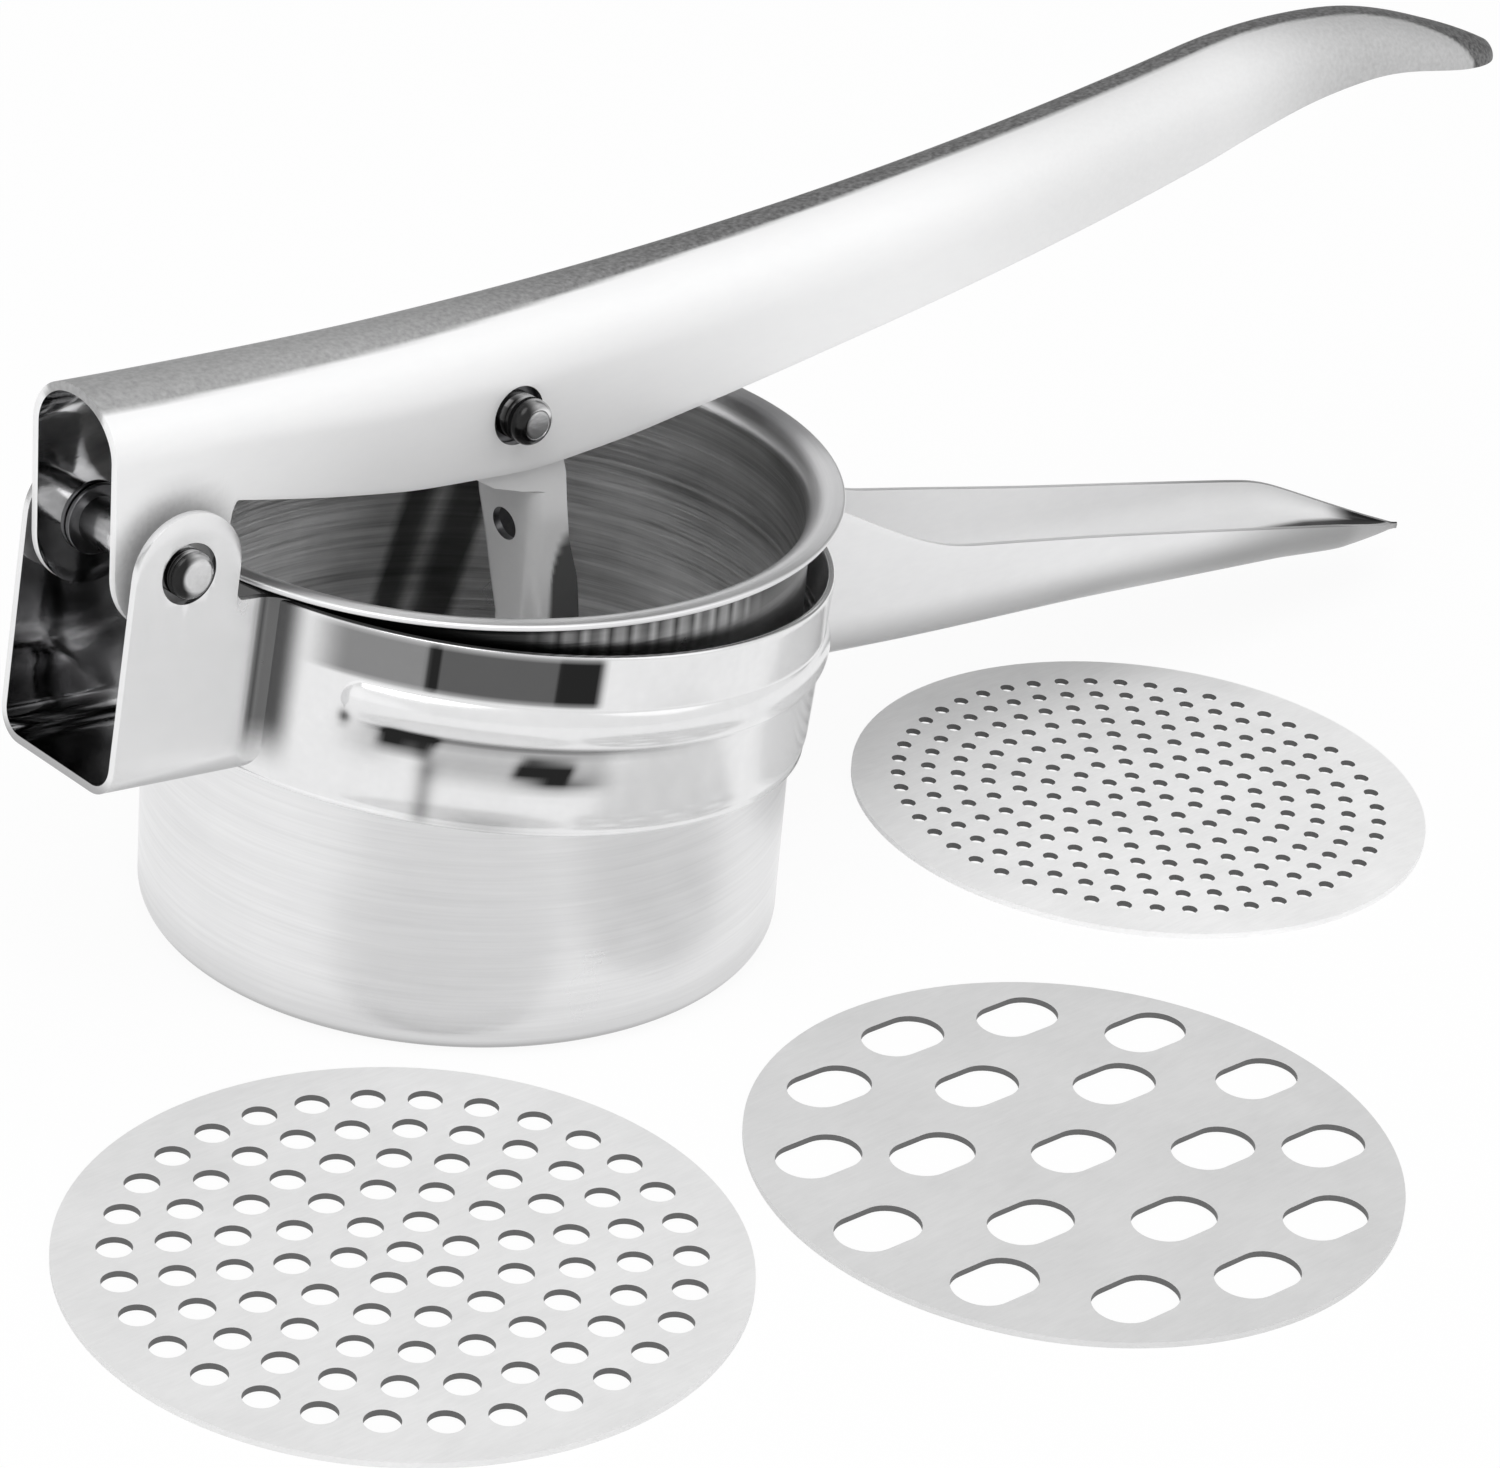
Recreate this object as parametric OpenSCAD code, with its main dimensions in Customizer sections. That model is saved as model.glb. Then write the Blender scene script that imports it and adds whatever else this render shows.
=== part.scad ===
// Potato ricer: a flared cup hangs in the band of a stamped steel frame, and a
// hinged lever drives a press plate down the cup.
// +X runs from the hinge to the handle tips, +Z is up, and the origin is the
// centre of the cup's outlet, level with the table.

/* [Cup] */
// Outer radius of the cup's straight wall
cup_r = 42; // [38:0.5:44]
// Height of the cup over its lip
cup_h = 61.5; // [58:0.5:64]
// Sheet thickness of the cup
cup_wall = 0.8; // [0.6:0.1:1.2]
// How far the lip reaches out past the wall
lip_reach = 4; // [3.4:0.1:5]
// Radius of the bend under the lip
lip_bend = 2.6; // [2.4:0.1:3]
// Outer radius of the rounded bottom edge
foot_bend = 3; // [2:0.5:4]
// Width of the inward ledge that carries a disc
ledge_w = 4.5; // [4:0.5:6]

/* [Ricing discs] */
// Gap between a disc's edge and the cup's wall
disc_gap = 0.6; // [0.3:0.1:1]
// Sheet thickness of the discs
disc_t = 0.8; // [0.6:0.1:1.2]
// Hole diameter of the fine disc
fine_hole_d = 2.1; // [1.4:0.1:2.4]
// Distance between the hole rings of the fine disc
fine_pitch = 4.25; // [4:0.05:4.5]
// Number of hole rings around the centre hole of the fine disc
fine_rings = 8; // [5:1:8]
// Hole diameter of the medium disc
medium_hole_d = 4.3; // [3:0.1:4.6]
// Distance between the hole rings of the medium disc
medium_pitch = 6.65; // [5.8:0.05:6.8]
// Number of hole rings around the centre hole of the medium disc
medium_rings = 5; // [3:1:5]
// Length of the coarse disc's slots
slot_l = 11.6; // [10:0.1:12]
// Width of the coarse disc's slots
slot_w = 7.8; // [6:0.1:8.5]
// How far the fine disc lies from the cup's wall
fine_off = 20; // [17:0.5:24]
// How far the medium disc lies from the cup's wall
medium_off = 4.7; // [4.5:0.1:8]
// How far the coarse disc lies from the cup's wall
coarse_off = 13.4; // [12:0.1:18]
// Distance from the coarse disc's edge to the middle of its outer slots
slot_margin = 8.8; // [8.2:0.1:9.6]

/* [Frame] */
// Sheet thickness of the frame
frame_t = 1; // [0.8:0.1:1.4]
// Height of the band around the cup
band_h = 23.9; // [20:0.1:26]
// Angle by which the frame hangs down towards the handle, degrees
tilt = 6.3; // [4:0.1:7]
// Gap left where the tilted band nears the cup's wall
rub_gap = 0.33; // [0.3:0.01:0.6]
// Gap between the lip's underside and the band's top edge
seat_gap = 0.3; // [0.3:0.05:0.8]
// Height of the stiffening bead
bead_h = 5.2; // [4:0.1:6]
// How far the bead stands out
bead_out = 0.9; // [0.6:0.1:1.2]
// Height of the bead's middle above the band's lower edge
bead_z = 14.2; // [10:0.1:16]
// Angle either side of the handle that the bead covers, degrees
bead_half_angle = 148; // [120:1:150]

/* [Hinge channel] */
// Outer width of the channel
channel_w = 23; // [22:0.5:26]
// Outer radius of the channel's lower corners
channel_corner = 4; // [3:0.5:6]
// Distance from the band's outer face back to the hinge pin
pivot_reach = 11.6; // [11:0.1:14]
// Height of the hinge pin above the band's top edge
pivot_rise = 4.6; // [4.5:0.1:6]
// Radius of the rounded ears
ear_r = 7.6; // [6.5:0.1:8]

/* [Lower handle] */
// Outer width of the trough
handle_w = 23; // [20:0.5:26]
// Distance from the band's axis to the pointed tip
handle_l = 194; // [180:1:215]
// How far the trough's floor lies below the band's lower edge
handle_drop = 1.8; // [0:0.1:3]
// Outer radius of the trough's lower corners
handle_corner = 6.5; // [5:0.5:8]
// Length of the pointed end
point_l = 20.5; // [18:0.5:30]

/* [Lever] */
// Outer width of the lever
lever_w = 16.8; // [15.6:0.1:17.4]
// Sheet thickness of the lever
lever_t = 1.1; // [0.9:0.1:1.3]
// Length from the hinge pin to the lever's tip
lever_l = 248; // [240:1:254]
// Height of the spine above the hinge pin at its lowest place
spine_rise = 19.6; // [19.2:0.1:21]
// Distance from the hinge pin to the lowest place of the spine
spine_low_x = 48; // [44:1:52]
// Radius of the long sagging part of the spine
sag_r = 850; // [780:10:950]
// Length of the crest along X, up to the tip
crest_l = 66; // [62:0.5:70]
// Radius of the spine over the crest
crest_r = 116; // [108:1:125]
// Radius of the spine's rounded long edges
arch_r = 7; // [5:0.5:7.5]
// Depth of the lever over the plunger pin
lever_depth = 20.7; // [19.5:0.1:21.5]
// Depth of the lever behind the hinge lobes
back_depth = 15; // [14:0.1:15.6]
// Distance from the hinge pin to the straight stretch before the grip
shank_x = 116; // [100:1:125]
// Depth of the lever at that stretch
shank_depth = 16.6; // [16:0.1:18]
// Distance from the tip back to where the lever starts to taper
taper_l = 81; // [75:1:86]
// Depth of the lever where it starts to taper
taper_depth = 13.4; // [12.6:0.1:14.4]
// Distance from the tip back to the end of the taper
waist_l = 36; // [32:1:42]
// Depth of the lever at the end of the taper
waist_depth = 7.9; // [7:0.1:9]
// Depth of the lever at its tip
tip_depth = 3.6; // [2.6:0.1:4]
// Radius of the lobes around the hinge pin
lobe_r = 8.4; // [7.5:0.1:8.6]

/* [Pins] */
// Diameter of both pins
pin_d = 6; // [5:0.1:6.4]
// Radial clearance of a part that turns on a pin
run_gap = 0.08; // [0.02:0.01:0.1]
// Radial clearance of a pin in the walls that carry it
pin_gap = 0.25; // [0.1:0.05:0.35]
// How far the hinge pin stands out of each ear
hinge_pin_out = 1.2; // [0.8:0.1:2]
// How far the plunger pin stands out of each lever wall
plunger_pin_out = 3.6; // [2:0.1:4]
// Chamfer of the pin ends
pin_chamfer = 0.9; // [0.5:0.1:1.2]
// Outer diameter of the retaining rings
ring_d = 9; // [8:0.1:9.6]
// Thickness of the retaining rings
ring_t = 0.7; // [0.5:0.1:0.8]

/* [Plunger] */
// Distance from the hinge pin to the plunger pin along X
arm_x = 52.4; // [50:0.1:54]
// Height of the plunger pin above the hinge pin
arm_z = 7; // [6:0.1:8]
// Gap between the press plate and the cup's wall
plate_clear = 5.2; // [4.9:0.1:7]
// Sheet thickness of the press plate
plate_t = 1.2; // [1:0.1:1.5]
// Height of the press plate's turned-up edge
plate_rim_h = 3; // [2:0.5:3]
// Height of the press plate's underside over the ledge and a disc on it
plate_gap = 0.8; // [0.4:0.1:2]
// Outer width of the bracket along its web
bracket_w = 8.4; // [7.6:0.2:9.6]
// Outer width of the bracket's ears
bracket_ear_w = 12.6; // [12:0.1:12.8]
// Sheet thickness of the bracket
bracket_t = 1.1; // [0.9:0.1:1.4]
// Radius of the bracket's ears around the plunger pin
bracket_ear_r = 7.2; // [6.4:0.1:7.6]
// Diameter of the hole in the bracket's web
web_hole_d = 4.3; // [3:0.1:5]
// Depth of the bracket's foot along X
foot_l = 14; // [11:0.5:16]
// Width of the tab on either side of the bracket's foot
tab_w = 6; // [4:0.5:9]

/* [Hidden] */
$fn = 96;

// Gap between a retaining ring and the wall it faces
ring_gap = 0.15;

// Cup
cup_ri = cup_r - cup_wall;
lip_r = cup_r + lip_reach;
outlet_r = cup_ri - ledge_w + cup_wall;

// Discs, laid on the table beside the cup
disc_r = cup_ri - disc_gap;
slot_ring = disc_r - slot_margin;
fine_at = (cup_r + disc_r + fine_off) * [cos(-18.6), sin(-18.6)];
medium_at = (cup_r + disc_r + medium_off) * [cos(-133.3), sin(-133.3)];
coarse_at = (cup_r + disc_r + coarse_off) * [cos(-77.7), sin(-77.7)];
// How each disc lies turned on the table, degrees; slots keep their own direction
fine_turn = 55;
medium_turn = 35;
coarse_turn = 27;
slot_turn = -2;

// Band: wide enough to hang at its tilt without touching the cup
band_ri = (cup_r + rub_gap + band_h / 2 * sin(tilt)) / cos(tilt);
band_ro = band_ri + frame_t;
bead_r = (pow(bead_h / 2, 2) + pow(bead_out, 2)) / (2 * bead_out);
bead_c = band_ro + bead_out - bead_r;

// Place of the band's lower edge: its back top edge stops below the lip
band_x = -band_h / 2 * sin(tilt);
touch_r = band_ri * cos(tilt) - band_h / 2 * sin(tilt);
lip_z0 = cup_h - cup_wall - lip_bend;
lip_under = lip_z0 + sqrt(pow(lip_bend, 2) - pow(lip_bend - (touch_r - cup_r), 2));
band_z = lip_under - seat_gap - band_h * cos(tilt) - band_ri * sin(tilt);

// Hinge pin, in the frame's own tilted coordinates and in the part's
pivot_fx = -(band_ro + pivot_reach);
pivot_fz = band_h + pivot_rise;
pivot_x = band_x + pivot_fx * cos(tilt) + pivot_fz * sin(tilt);
pivot_z = band_z - pivot_fx * sin(tilt) + pivot_fz * cos(tilt);

// Lower handle's top edge, measured from the trough's floor and the band's axis
handle_h = band_h + handle_drop;
wall_low_x = band_ro + 33;
wall_low_h = 15.2;
point_h = 5.3;
tip_h = 1.2;
point_a = atan(handle_w / 2 / point_l);

// Plunger pin, press plate and bracket
press_x = pivot_x + arm_x;
press_z = pivot_z + arm_z;
plate_r = cup_ri - plate_clear;
plate_z = cup_wall + disc_t + plate_gap;
plate_top = plate_z + plate_t;

// Centres of the two arcs of the lever's spine, from the hinge pin
crest_start = asin((lever_l - crest_l - spine_low_x) / sag_r);
sag_c = [spine_low_x, spine_rise + sag_r];
crest_p = sag_c + sag_r * [sin(crest_start), -cos(crest_start)];
crest_c = crest_p + crest_r * [sin(crest_start), -cos(crest_start)];

// Puts children that are drawn in the frame's coordinates into the part's
module in_frame() {
    translate([band_x, 0, band_z]) rotate([0, tilt, 0]) children();
}

// Puts children that are drawn around the hinge pin's axis into the part's
module at_pivot() {
    translate([pivot_x, 0, pivot_z]) children();
}

// Points of a cubic curve through p[0] and p[3], without its last point
function curve(p, n = 12) = [for (i = [0 : n - 1]) let (t = i / n, s = 1 - t)
    s * s * s * p[0] + 3 * s * s * t * p[1] + 3 * s * t * t * p[2] + t * t * t * p[3]];

// Points of a curve from a to b that leaves a at slope sa and meets b at slope sb
function ease(a, b, sa, sb) = let (d = (b.x - a.x) / 3) curve([a, a + d * [1, sa], b - d * [1, sb], b]);

// A flat outline in X and Z, extruded across Y from y0 to y1
module side_plate(y0, y1) {
    translate([0, y1, 0]) rotate([90, 0, 0]) linear_extrude(y1 - y0) children();
}

// ---- Cup ----

// The cup is one drawn sheet piece, drawn as its wall with the lip and its foot
module cup() {
    color("gainsboro") rotate_extrude() {
        // straight wall
        translate([cup_ri, foot_bend]) square([cup_wall, lip_z0 - foot_bend]);
        // flared lip
        intersection() {
            translate([cup_r + lip_bend, lip_z0]) difference() {
                circle(lip_bend + cup_wall);
                circle(lip_bend);
            }
            translate([cup_ri, lip_z0]) square(lip_bend + cup_wall);
        }
        translate([cup_r + lip_bend, cup_h - cup_wall]) square([lip_reach - lip_bend, cup_wall]);
    }
}

// Rounded bottom edge and the ledge that carries a disc
module cup_foot() {
    color("gainsboro") rotate_extrude() {
        translate([outlet_r, 0]) square([cup_r - foot_bend - outlet_r, cup_wall]);
        intersection() {
            translate([cup_r - foot_bend, foot_bend]) difference() {
                circle(foot_bend);
                circle(foot_bend - cup_wall);
            }
            translate([cup_r - foot_bend, 0]) square(foot_bend);
        }
    }
}

// ---- Ricing discs ----

module disc_blank() {
    cylinder(h = disc_t, r = disc_r);
}

// Rings of 6, 12, 18 and so on holes around one in the middle
module ring_holes(d, pitch, rings) {
    cylinder(h = 3 * disc_t, d = d, center = true);
    for (k = [1 : rings], i = [0 : 6 * k - 1])
        rotate(i * 60 / k) translate([k * pitch, 0, 0]) cylinder(h = 3 * disc_t, d = d, center = true);
}

module slot() {
    for (s = [-1, 1]) translate([s * (slot_l - slot_w) / 2, 0, 0])
        cylinder(h = 3 * disc_t, d = slot_w, center = true);
    cube([slot_l - slot_w, slot_w, 3 * disc_t], center = true);
}

module disc_fine() {
    color("silver") translate([fine_at.x, fine_at.y, 0]) difference() {
        disc_blank();
        rotate(fine_turn) ring_holes(fine_hole_d, fine_pitch, fine_rings);
    }
}

module disc_medium() {
    color("silver") translate([medium_at.x, medium_at.y, 0]) difference() {
        disc_blank();
        rotate(medium_turn) ring_holes(medium_hole_d, medium_pitch, medium_rings);
    }
}

module disc_coarse() {
    color("silver") translate([coarse_at.x, coarse_at.y, 0]) difference() {
        disc_blank();
        rotate(slot_turn) slot();
        for (ring = [1, 2], i = [0 : 6 * ring - 1]) {
            turn = coarse_turn + i * 60 / ring;
            reach = ring == 1 ? slot_ring * 0.556 : slot_ring;
            translate(reach * [cos(turn), sin(turn), 0]) rotate(slot_turn) slot();
        }
    }
}

// ---- Frame ----

// Ring of round section inside the band's wall, over half_a degrees either side of +X
module bead(r, half_a) {
    rotate(-half_a) rotate_extrude(angle = 2 * half_a) translate([bead_c, bead_z]) circle(r);
}

module frame_band() {
    color("lightsteelblue") in_frame() difference() {
        union() {
            cylinder(h = band_h, r = band_ro);
            bead(bead_r, bead_half_angle);
        }
        translate([0, 0, -band_h]) cylinder(h = 3 * band_h, r = band_ri);
        bead(bead_r - frame_t, bead_half_angle - frame_t / band_ro * 180 / PI);
    }
}

// U-shaped section: w across, h high, outer corner radius r
module u_section(w, h, r) {
    for (s = [-1, 1]) translate([s * (w / 2 - r), r]) circle(r);
    translate([-w / 2 + r, 0]) square([w - 2 * r, h]);
    translate([-w / 2, r]) square([w, h - r]);
}

// Solid bar of U-shaped section along X from x0 to x1, with its floor at z
module u_bar(x0, x1, z, w, h, r) {
    translate([x0, 0, z]) rotate([90, 0, 90]) linear_extrude(x1 - x0) u_section(w, h, r);
}

module hinge_channel() {
    top = pivot_fz + ear_r;
    back = pivot_fx - ear_r;
    notch = 1.2;
    color("lightsteelblue") in_frame() difference() {
        u_bar(back, 0, 0, channel_w, top, channel_corner);
        translate([0, 0, frame_t])
            u_bar(back - 1, 1, 0, channel_w - 2 * frame_t, top, channel_corner - frame_t);
        // the band's place
        translate([0, 0, -1]) cylinder(h = top + 2, r = band_ro);
        // rounded ears that stand above the band
        side_plate(-channel_w, channel_w) difference() {
            translate([back - 1, pivot_fz]) square([-back + 2, top]);
            translate([pivot_fx, pivot_fz]) circle(ear_r);
        }
        side_plate(-channel_w, channel_w) {
            translate([pivot_fx + ear_r, band_h + notch]) square([-pivot_fx, top]);
            translate([pivot_fx + ear_r + notch, band_h]) square([-pivot_fx, top]);
            translate([pivot_fx + ear_r + notch, band_h + notch]) circle(notch);
        }
        // bore of the hinge pin
        translate([pivot_fx, 0, pivot_fz]) rotate([90, 0, 0])
            cylinder(h = 2 * channel_w, d = pin_d + 2 * pin_gap, center = true);
    }
}

// Plan of the trough with its pointed end, shrunk by inset
module handle_plan(inset) {
    w = handle_w / 2 - inset;
    tip = handle_l - inset / sin(point_a);
    square_l = tip - w / tan(point_a);
    polygon([[0, -w], [square_l, -w], [tip, 0], [square_l, w], [0, w]]);
}

module lower_handle() {
    top_edge = concat(
        [[0, handle_h], [band_ro + 2, handle_h]],
        curve([[band_ro + 2, handle_h], [band_ro + 15, handle_h - 4.5],
            [band_ro + 20, wall_low_h], [wall_low_x, wall_low_h]]),
        [[wall_low_x, wall_low_h], [handle_l - point_l, point_h]],
        curve([[handle_l - point_l, point_h], [handle_l - point_l / 2, 4],
            [handle_l - point_l / 4, 2.6], [handle_l, tip_h]], 8),
        [[handle_l, tip_h], [handle_l, -1], [0, -1]]);
    color("lightsteelblue") in_frame() translate([0, 0, -handle_drop]) difference() {
        intersection() {
            u_bar(0, handle_l, 0, handle_w, handle_h, handle_corner);
            linear_extrude(handle_h) handle_plan(0);
            side_plate(-handle_w, handle_w) polygon(top_edge);
        }
        intersection() {
            u_bar(-1, handle_l, frame_t, handle_w - 2 * frame_t, handle_h, handle_corner - frame_t);
            linear_extrude(2 * handle_h) handle_plan(frame_t);
        }
        // the band's place
        translate([0, 0, -1]) cylinder(h = handle_h + 2, r = band_ro);
        translate([0, 0, handle_drop]) bead(bead_r, bead_half_angle);
    }
}

// ---- Pins and retaining rings ----

// Round pin across Y with chamfered ends and a groove near each end
module pin(l, groove_y) {
    core = l - 2 * pin_chamfer;
    groove = 0.4;
    rotate([90, 0, 0]) difference() {
        union() {
            cylinder(h = core, d = pin_d, center = true);
            for (s = [0, 1]) mirror([0, 0, s]) translate([0, 0, core / 2])
                cylinder(h = pin_chamfer, d1 = pin_d, d2 = pin_d - 2 * pin_chamfer);
        }
        for (s = [-1, 1]) translate([0, 0, s * groove_y]) difference() {
            cylinder(h = 0.8, d = pin_d + 1, center = true);
            cylinder(h = 2, d = pin_d - 2 * groove, center = true);
        }
    }
}

// Two retaining rings on a pin, their outer faces at y on either side
module pin_rings(y) {
    for (s = [-1, 1]) translate([0, s * (y - ring_t / 2), 0]) rotate([90, 0, 0]) difference() {
        cylinder(h = ring_t, d = ring_d, center = true);
        cylinder(h = 2 * ring_t, d = pin_d, center = true);
    }
}

module hinge_pin() {
    color("silver") at_pivot()
        pin(channel_w + 2 * hinge_pin_out, channel_w / 2 + 0.1);
}

module hinge_rings() {
    color("silver") at_pivot() pin_rings(lever_w / 2 - lever_t - ring_gap);
}

module plunger_pin() {
    color("silver") translate([press_x, 0, press_z])
        pin(lever_w + 2 * plunger_pin_out, lever_w / 2 + plunger_pin_out / 2);
}

module plunger_rings() {
    color("silver") translate([press_x, 0, press_z]) pin_rings(lever_w / 2 - lever_t - ring_gap);
}

// ---- Lever ----

// Height of the spine over the hinge pin at x
function spine_z(x) = x < crest_p.x ? sag_c.y - sqrt(pow(sag_r, 2) - pow(x - sag_c.x, 2))
    : crest_c.y + sqrt(pow(crest_r, 2) - pow(x - crest_c.x, 2));

// Arched section: x runs down from the spine, y across
module arch_section(inset) {
    w = lever_w / 2;
    depth = 2 * lever_depth;
    for (s = [-1, 1]) translate([arch_r, s * (w - arch_r)]) circle(arch_r - inset);
    translate([inset, -w + arch_r]) square([depth - inset, 2 * (w - arch_r)]);
    translate([arch_r, -w + inset]) square([depth - arch_r, 2 * (w - inset)]);
}

// Solid arch under the sagging part of the spine, over degrees more at both ends
module sag_sweep(inset, over) {
    back_a = asin((spine_low_x + 2 * lobe_r) / sag_r) + over;
    translate([sag_c.x, 0, sag_c.y]) rotate([90, 0, 0]) rotate(270 - back_a)
        rotate_extrude(angle = crest_start + back_a + over, $fn = 720)
            translate([sag_r, 0]) arch_section(inset);
}

// Solid arch under the crest and down to the tip, over degrees more at both ends
module crest_sweep(inset, over) {
    front_a = asin((lever_l + tip_depth - crest_c.x) / crest_r) + over;
    translate([crest_c.x, 0, crest_c.y]) rotate([90, 0, 0]) rotate(90 - front_a)
        rotate_extrude(angle = front_a + crest_start + over, $fn = 360)
            translate([crest_r, 0]) mirror([1, 0]) arch_section(inset);
}

// Side view of the lever around the hinge pin: its lower edge is kept as depths below the spine
module lever_outline() {
    top = spine_rise + crest_r;
    back = [lobe_r * 0.8, back_depth];
    deep = [arm_x + lobe_r / 2, lever_depth];
    shank = [shank_x, shank_depth];
    taper = [lever_l - taper_l, taper_depth];
    waist = [lever_l - waist_l, waist_depth];
    tip = [lever_l, tip_depth];
    edge = concat(ease(back, deep, 0.25, 0), ease(deep, shank, 0, -0.065),
        ease(shank, taper, -0.065, -0.075), ease(taper, waist, -0.075, -0.135),
        ease(waist, tip, -0.135, -0.05), [tip]);
    polygon(concat([for (p = edge) [p.x, spine_z(p.x) - p.y]],
        [[lever_l, top], [-lobe_r, top], [-lobe_r, 0], [0, 0]]));
    circle(lobe_r);
}

// The lever is one sheet piece, drawn as its arm and its grip
module lever() {
    color("whitesmoke") at_pivot() difference() {
        intersection() {
            sag_sweep(0, 0);
            side_plate(-lever_w, lever_w) lever_outline();
        }
        sag_sweep(lever_t, 1);
        rotate([90, 0, 0]) cylinder(h = 2 * lever_w, d = pin_d + 2 * run_gap, center = true);
        translate([arm_x, 0, arm_z]) rotate([90, 0, 0])
            cylinder(h = 2 * lever_w, d = pin_d + 2 * pin_gap, center = true);
    }
}

module lever_grip() {
    nose_r = lever_w / 2;
    tall = 3 * lever_depth;
    color("whitesmoke") at_pivot() difference() {
        intersection() {
            crest_sweep(0, 0);
            side_plate(-lever_w, lever_w) lever_outline();
            // rounded nose in plan
            union() {
                translate([0, -nose_r, 0]) cube([lever_l - nose_r, lever_w, tall]);
                translate([lever_l - nose_r, 0, 0]) cylinder(h = tall, r = nose_r);
            }
        }
        crest_sweep(lever_t, 1);
    }
}

// ---- Plunger ----

// Height of the web's top edge, and the heights between which the ears spread
web_top = press_z - 13;
spread_z = [press_z - 34, press_z - 17];
// Line of the web's back face from the foot up
web_foot = [4, plate_top];
web_knee = [press_x + 8.15, press_z - 34];
web_neck = [press_x + 5.45, press_z - 15];

// Side view of the bracket, in X and Z
module bracket_outline() {
    polygon([web_foot, web_knee, web_neck, [press_x - 3.2, press_z - 9.6],
        [press_x - bracket_ear_r, press_z], [press_x + bracket_ear_r, press_z],
        [press_x + 10.6, press_z - 11.5], [press_x + 11.1, press_z - 16.5],
        [press_x + 14.6, press_z - 27], [press_x + 16.3, press_z - 34],
        [web_foot.x + foot_l, plate_top]]);
    translate([press_x, press_z]) circle(bracket_ear_r);
}

// One side wall in Y and Z, seen along X: a flange that spreads into an ear
module bracket_wall() {
    low = bracket_w / 2;
    high = bracket_ear_w / 2;
    top = press_z + bracket_ear_r + 1;
    polygon([[low - bracket_t, 0], [low, 0], [low, spread_z[0]], [high, spread_z[1]], [high, top],
        [high - bracket_t, top], [high - bracket_t, spread_z[1]], [low - bracket_t, spread_z[0]]]);
}

// Outline of both side walls and the room between them, seen along X
module bracket_span() {
    low = bracket_w / 2;
    high = bracket_ear_w / 2;
    top = press_z + bracket_ear_r + 1;
    polygon([[-low, 0], [low, 0], [low, spread_z[0]], [high, spread_z[1]], [high, top],
        [-high, top], [-high, spread_z[1]], [-low, spread_z[0]]]);
}

module plunger_bracket() {
    reach = 80;
    color("gainsboro") difference() {
        union() {
            intersection() {
                side_plate(-bracket_ear_w, bracket_ear_w) bracket_outline();
                translate([-reach / 2, 0, 0]) rotate([90, 0, 90]) linear_extrude(reach) {
                    bracket_wall();
                    mirror([1, 0]) bracket_wall();
                }
            }
            // web, as wide as the flanges are apart at each height
            intersection() {
                side_plate(-bracket_ear_w, bracket_ear_w) polygon([
                    web_foot, web_knee, web_neck, [web_neck.x, web_top], [web_neck.x + bracket_t, web_top],
                    web_neck + [bracket_t, 0], web_knee + [bracket_t, 0], web_foot + [bracket_t, 0]]);
                translate([-reach / 2, 0, 0]) rotate([90, 0, 90]) linear_extrude(reach)
                    bracket_span();
            }
            // foot tabs on the press plate
            for (s = [0, 1]) mirror([0, s, 0]) translate([web_foot.x, bracket_w / 2 - bracket_t, plate_top])
                cube([foot_l, tab_w + bracket_t, bracket_t]);
        }
        // bore of the plunger pin
        translate([press_x, 0, press_z]) rotate([90, 0, 0])
            cylinder(h = 2 * bracket_ear_w, d = pin_d + 2 * run_gap, center = true);
        // hole in the web
        translate([web_neck.x + 1, 0, press_z - 19.5]) rotate([0, 90, 0])
            cylinder(h = 12, d = web_hole_d, center = true);
    }
}

module press_plate() {
    color("gainsboro") translate([0, 0, plate_z]) difference() {
        cylinder(h = plate_rim_h, r = plate_r);
        translate([0, 0, plate_t]) cylinder(h = plate_rim_h, r = plate_r - plate_t);
    }
}

cup();
cup_foot();
frame_band();
hinge_channel();
lower_handle();
hinge_pin();
hinge_rings();
lever();
lever_grip();
plunger_pin();
plunger_rings();
plunger_bracket();
press_plate();
disc_fine();
disc_medium();
disc_coarse();
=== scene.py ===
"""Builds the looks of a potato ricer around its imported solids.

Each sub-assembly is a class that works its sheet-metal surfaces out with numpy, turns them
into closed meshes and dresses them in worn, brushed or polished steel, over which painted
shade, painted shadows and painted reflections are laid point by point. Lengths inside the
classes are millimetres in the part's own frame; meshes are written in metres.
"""

import logging
import math
from dataclasses import dataclass, replace
from enum import Enum
from typing import Callable, Sequence

import bmesh
import bpy
import numpy as np
from mathutils import Matrix, Vector


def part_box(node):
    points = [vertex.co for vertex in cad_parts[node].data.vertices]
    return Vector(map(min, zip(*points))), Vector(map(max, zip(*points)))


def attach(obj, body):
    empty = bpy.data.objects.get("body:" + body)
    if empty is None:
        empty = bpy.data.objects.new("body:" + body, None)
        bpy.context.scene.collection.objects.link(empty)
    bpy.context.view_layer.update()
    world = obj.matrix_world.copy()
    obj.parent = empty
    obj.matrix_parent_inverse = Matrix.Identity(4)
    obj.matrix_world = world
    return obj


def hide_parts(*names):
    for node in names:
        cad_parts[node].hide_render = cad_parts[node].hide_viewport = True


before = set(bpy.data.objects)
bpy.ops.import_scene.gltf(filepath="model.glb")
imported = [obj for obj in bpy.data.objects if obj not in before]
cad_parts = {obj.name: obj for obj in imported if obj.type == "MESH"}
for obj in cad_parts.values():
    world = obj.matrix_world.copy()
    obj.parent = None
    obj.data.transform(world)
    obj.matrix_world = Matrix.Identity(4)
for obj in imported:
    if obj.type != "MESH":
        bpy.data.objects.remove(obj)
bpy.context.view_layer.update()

LOG = logging.getLogger("ricer")
MM = 0.001
Array = np.ndarray
Point = tuple[float, float, float]
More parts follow.
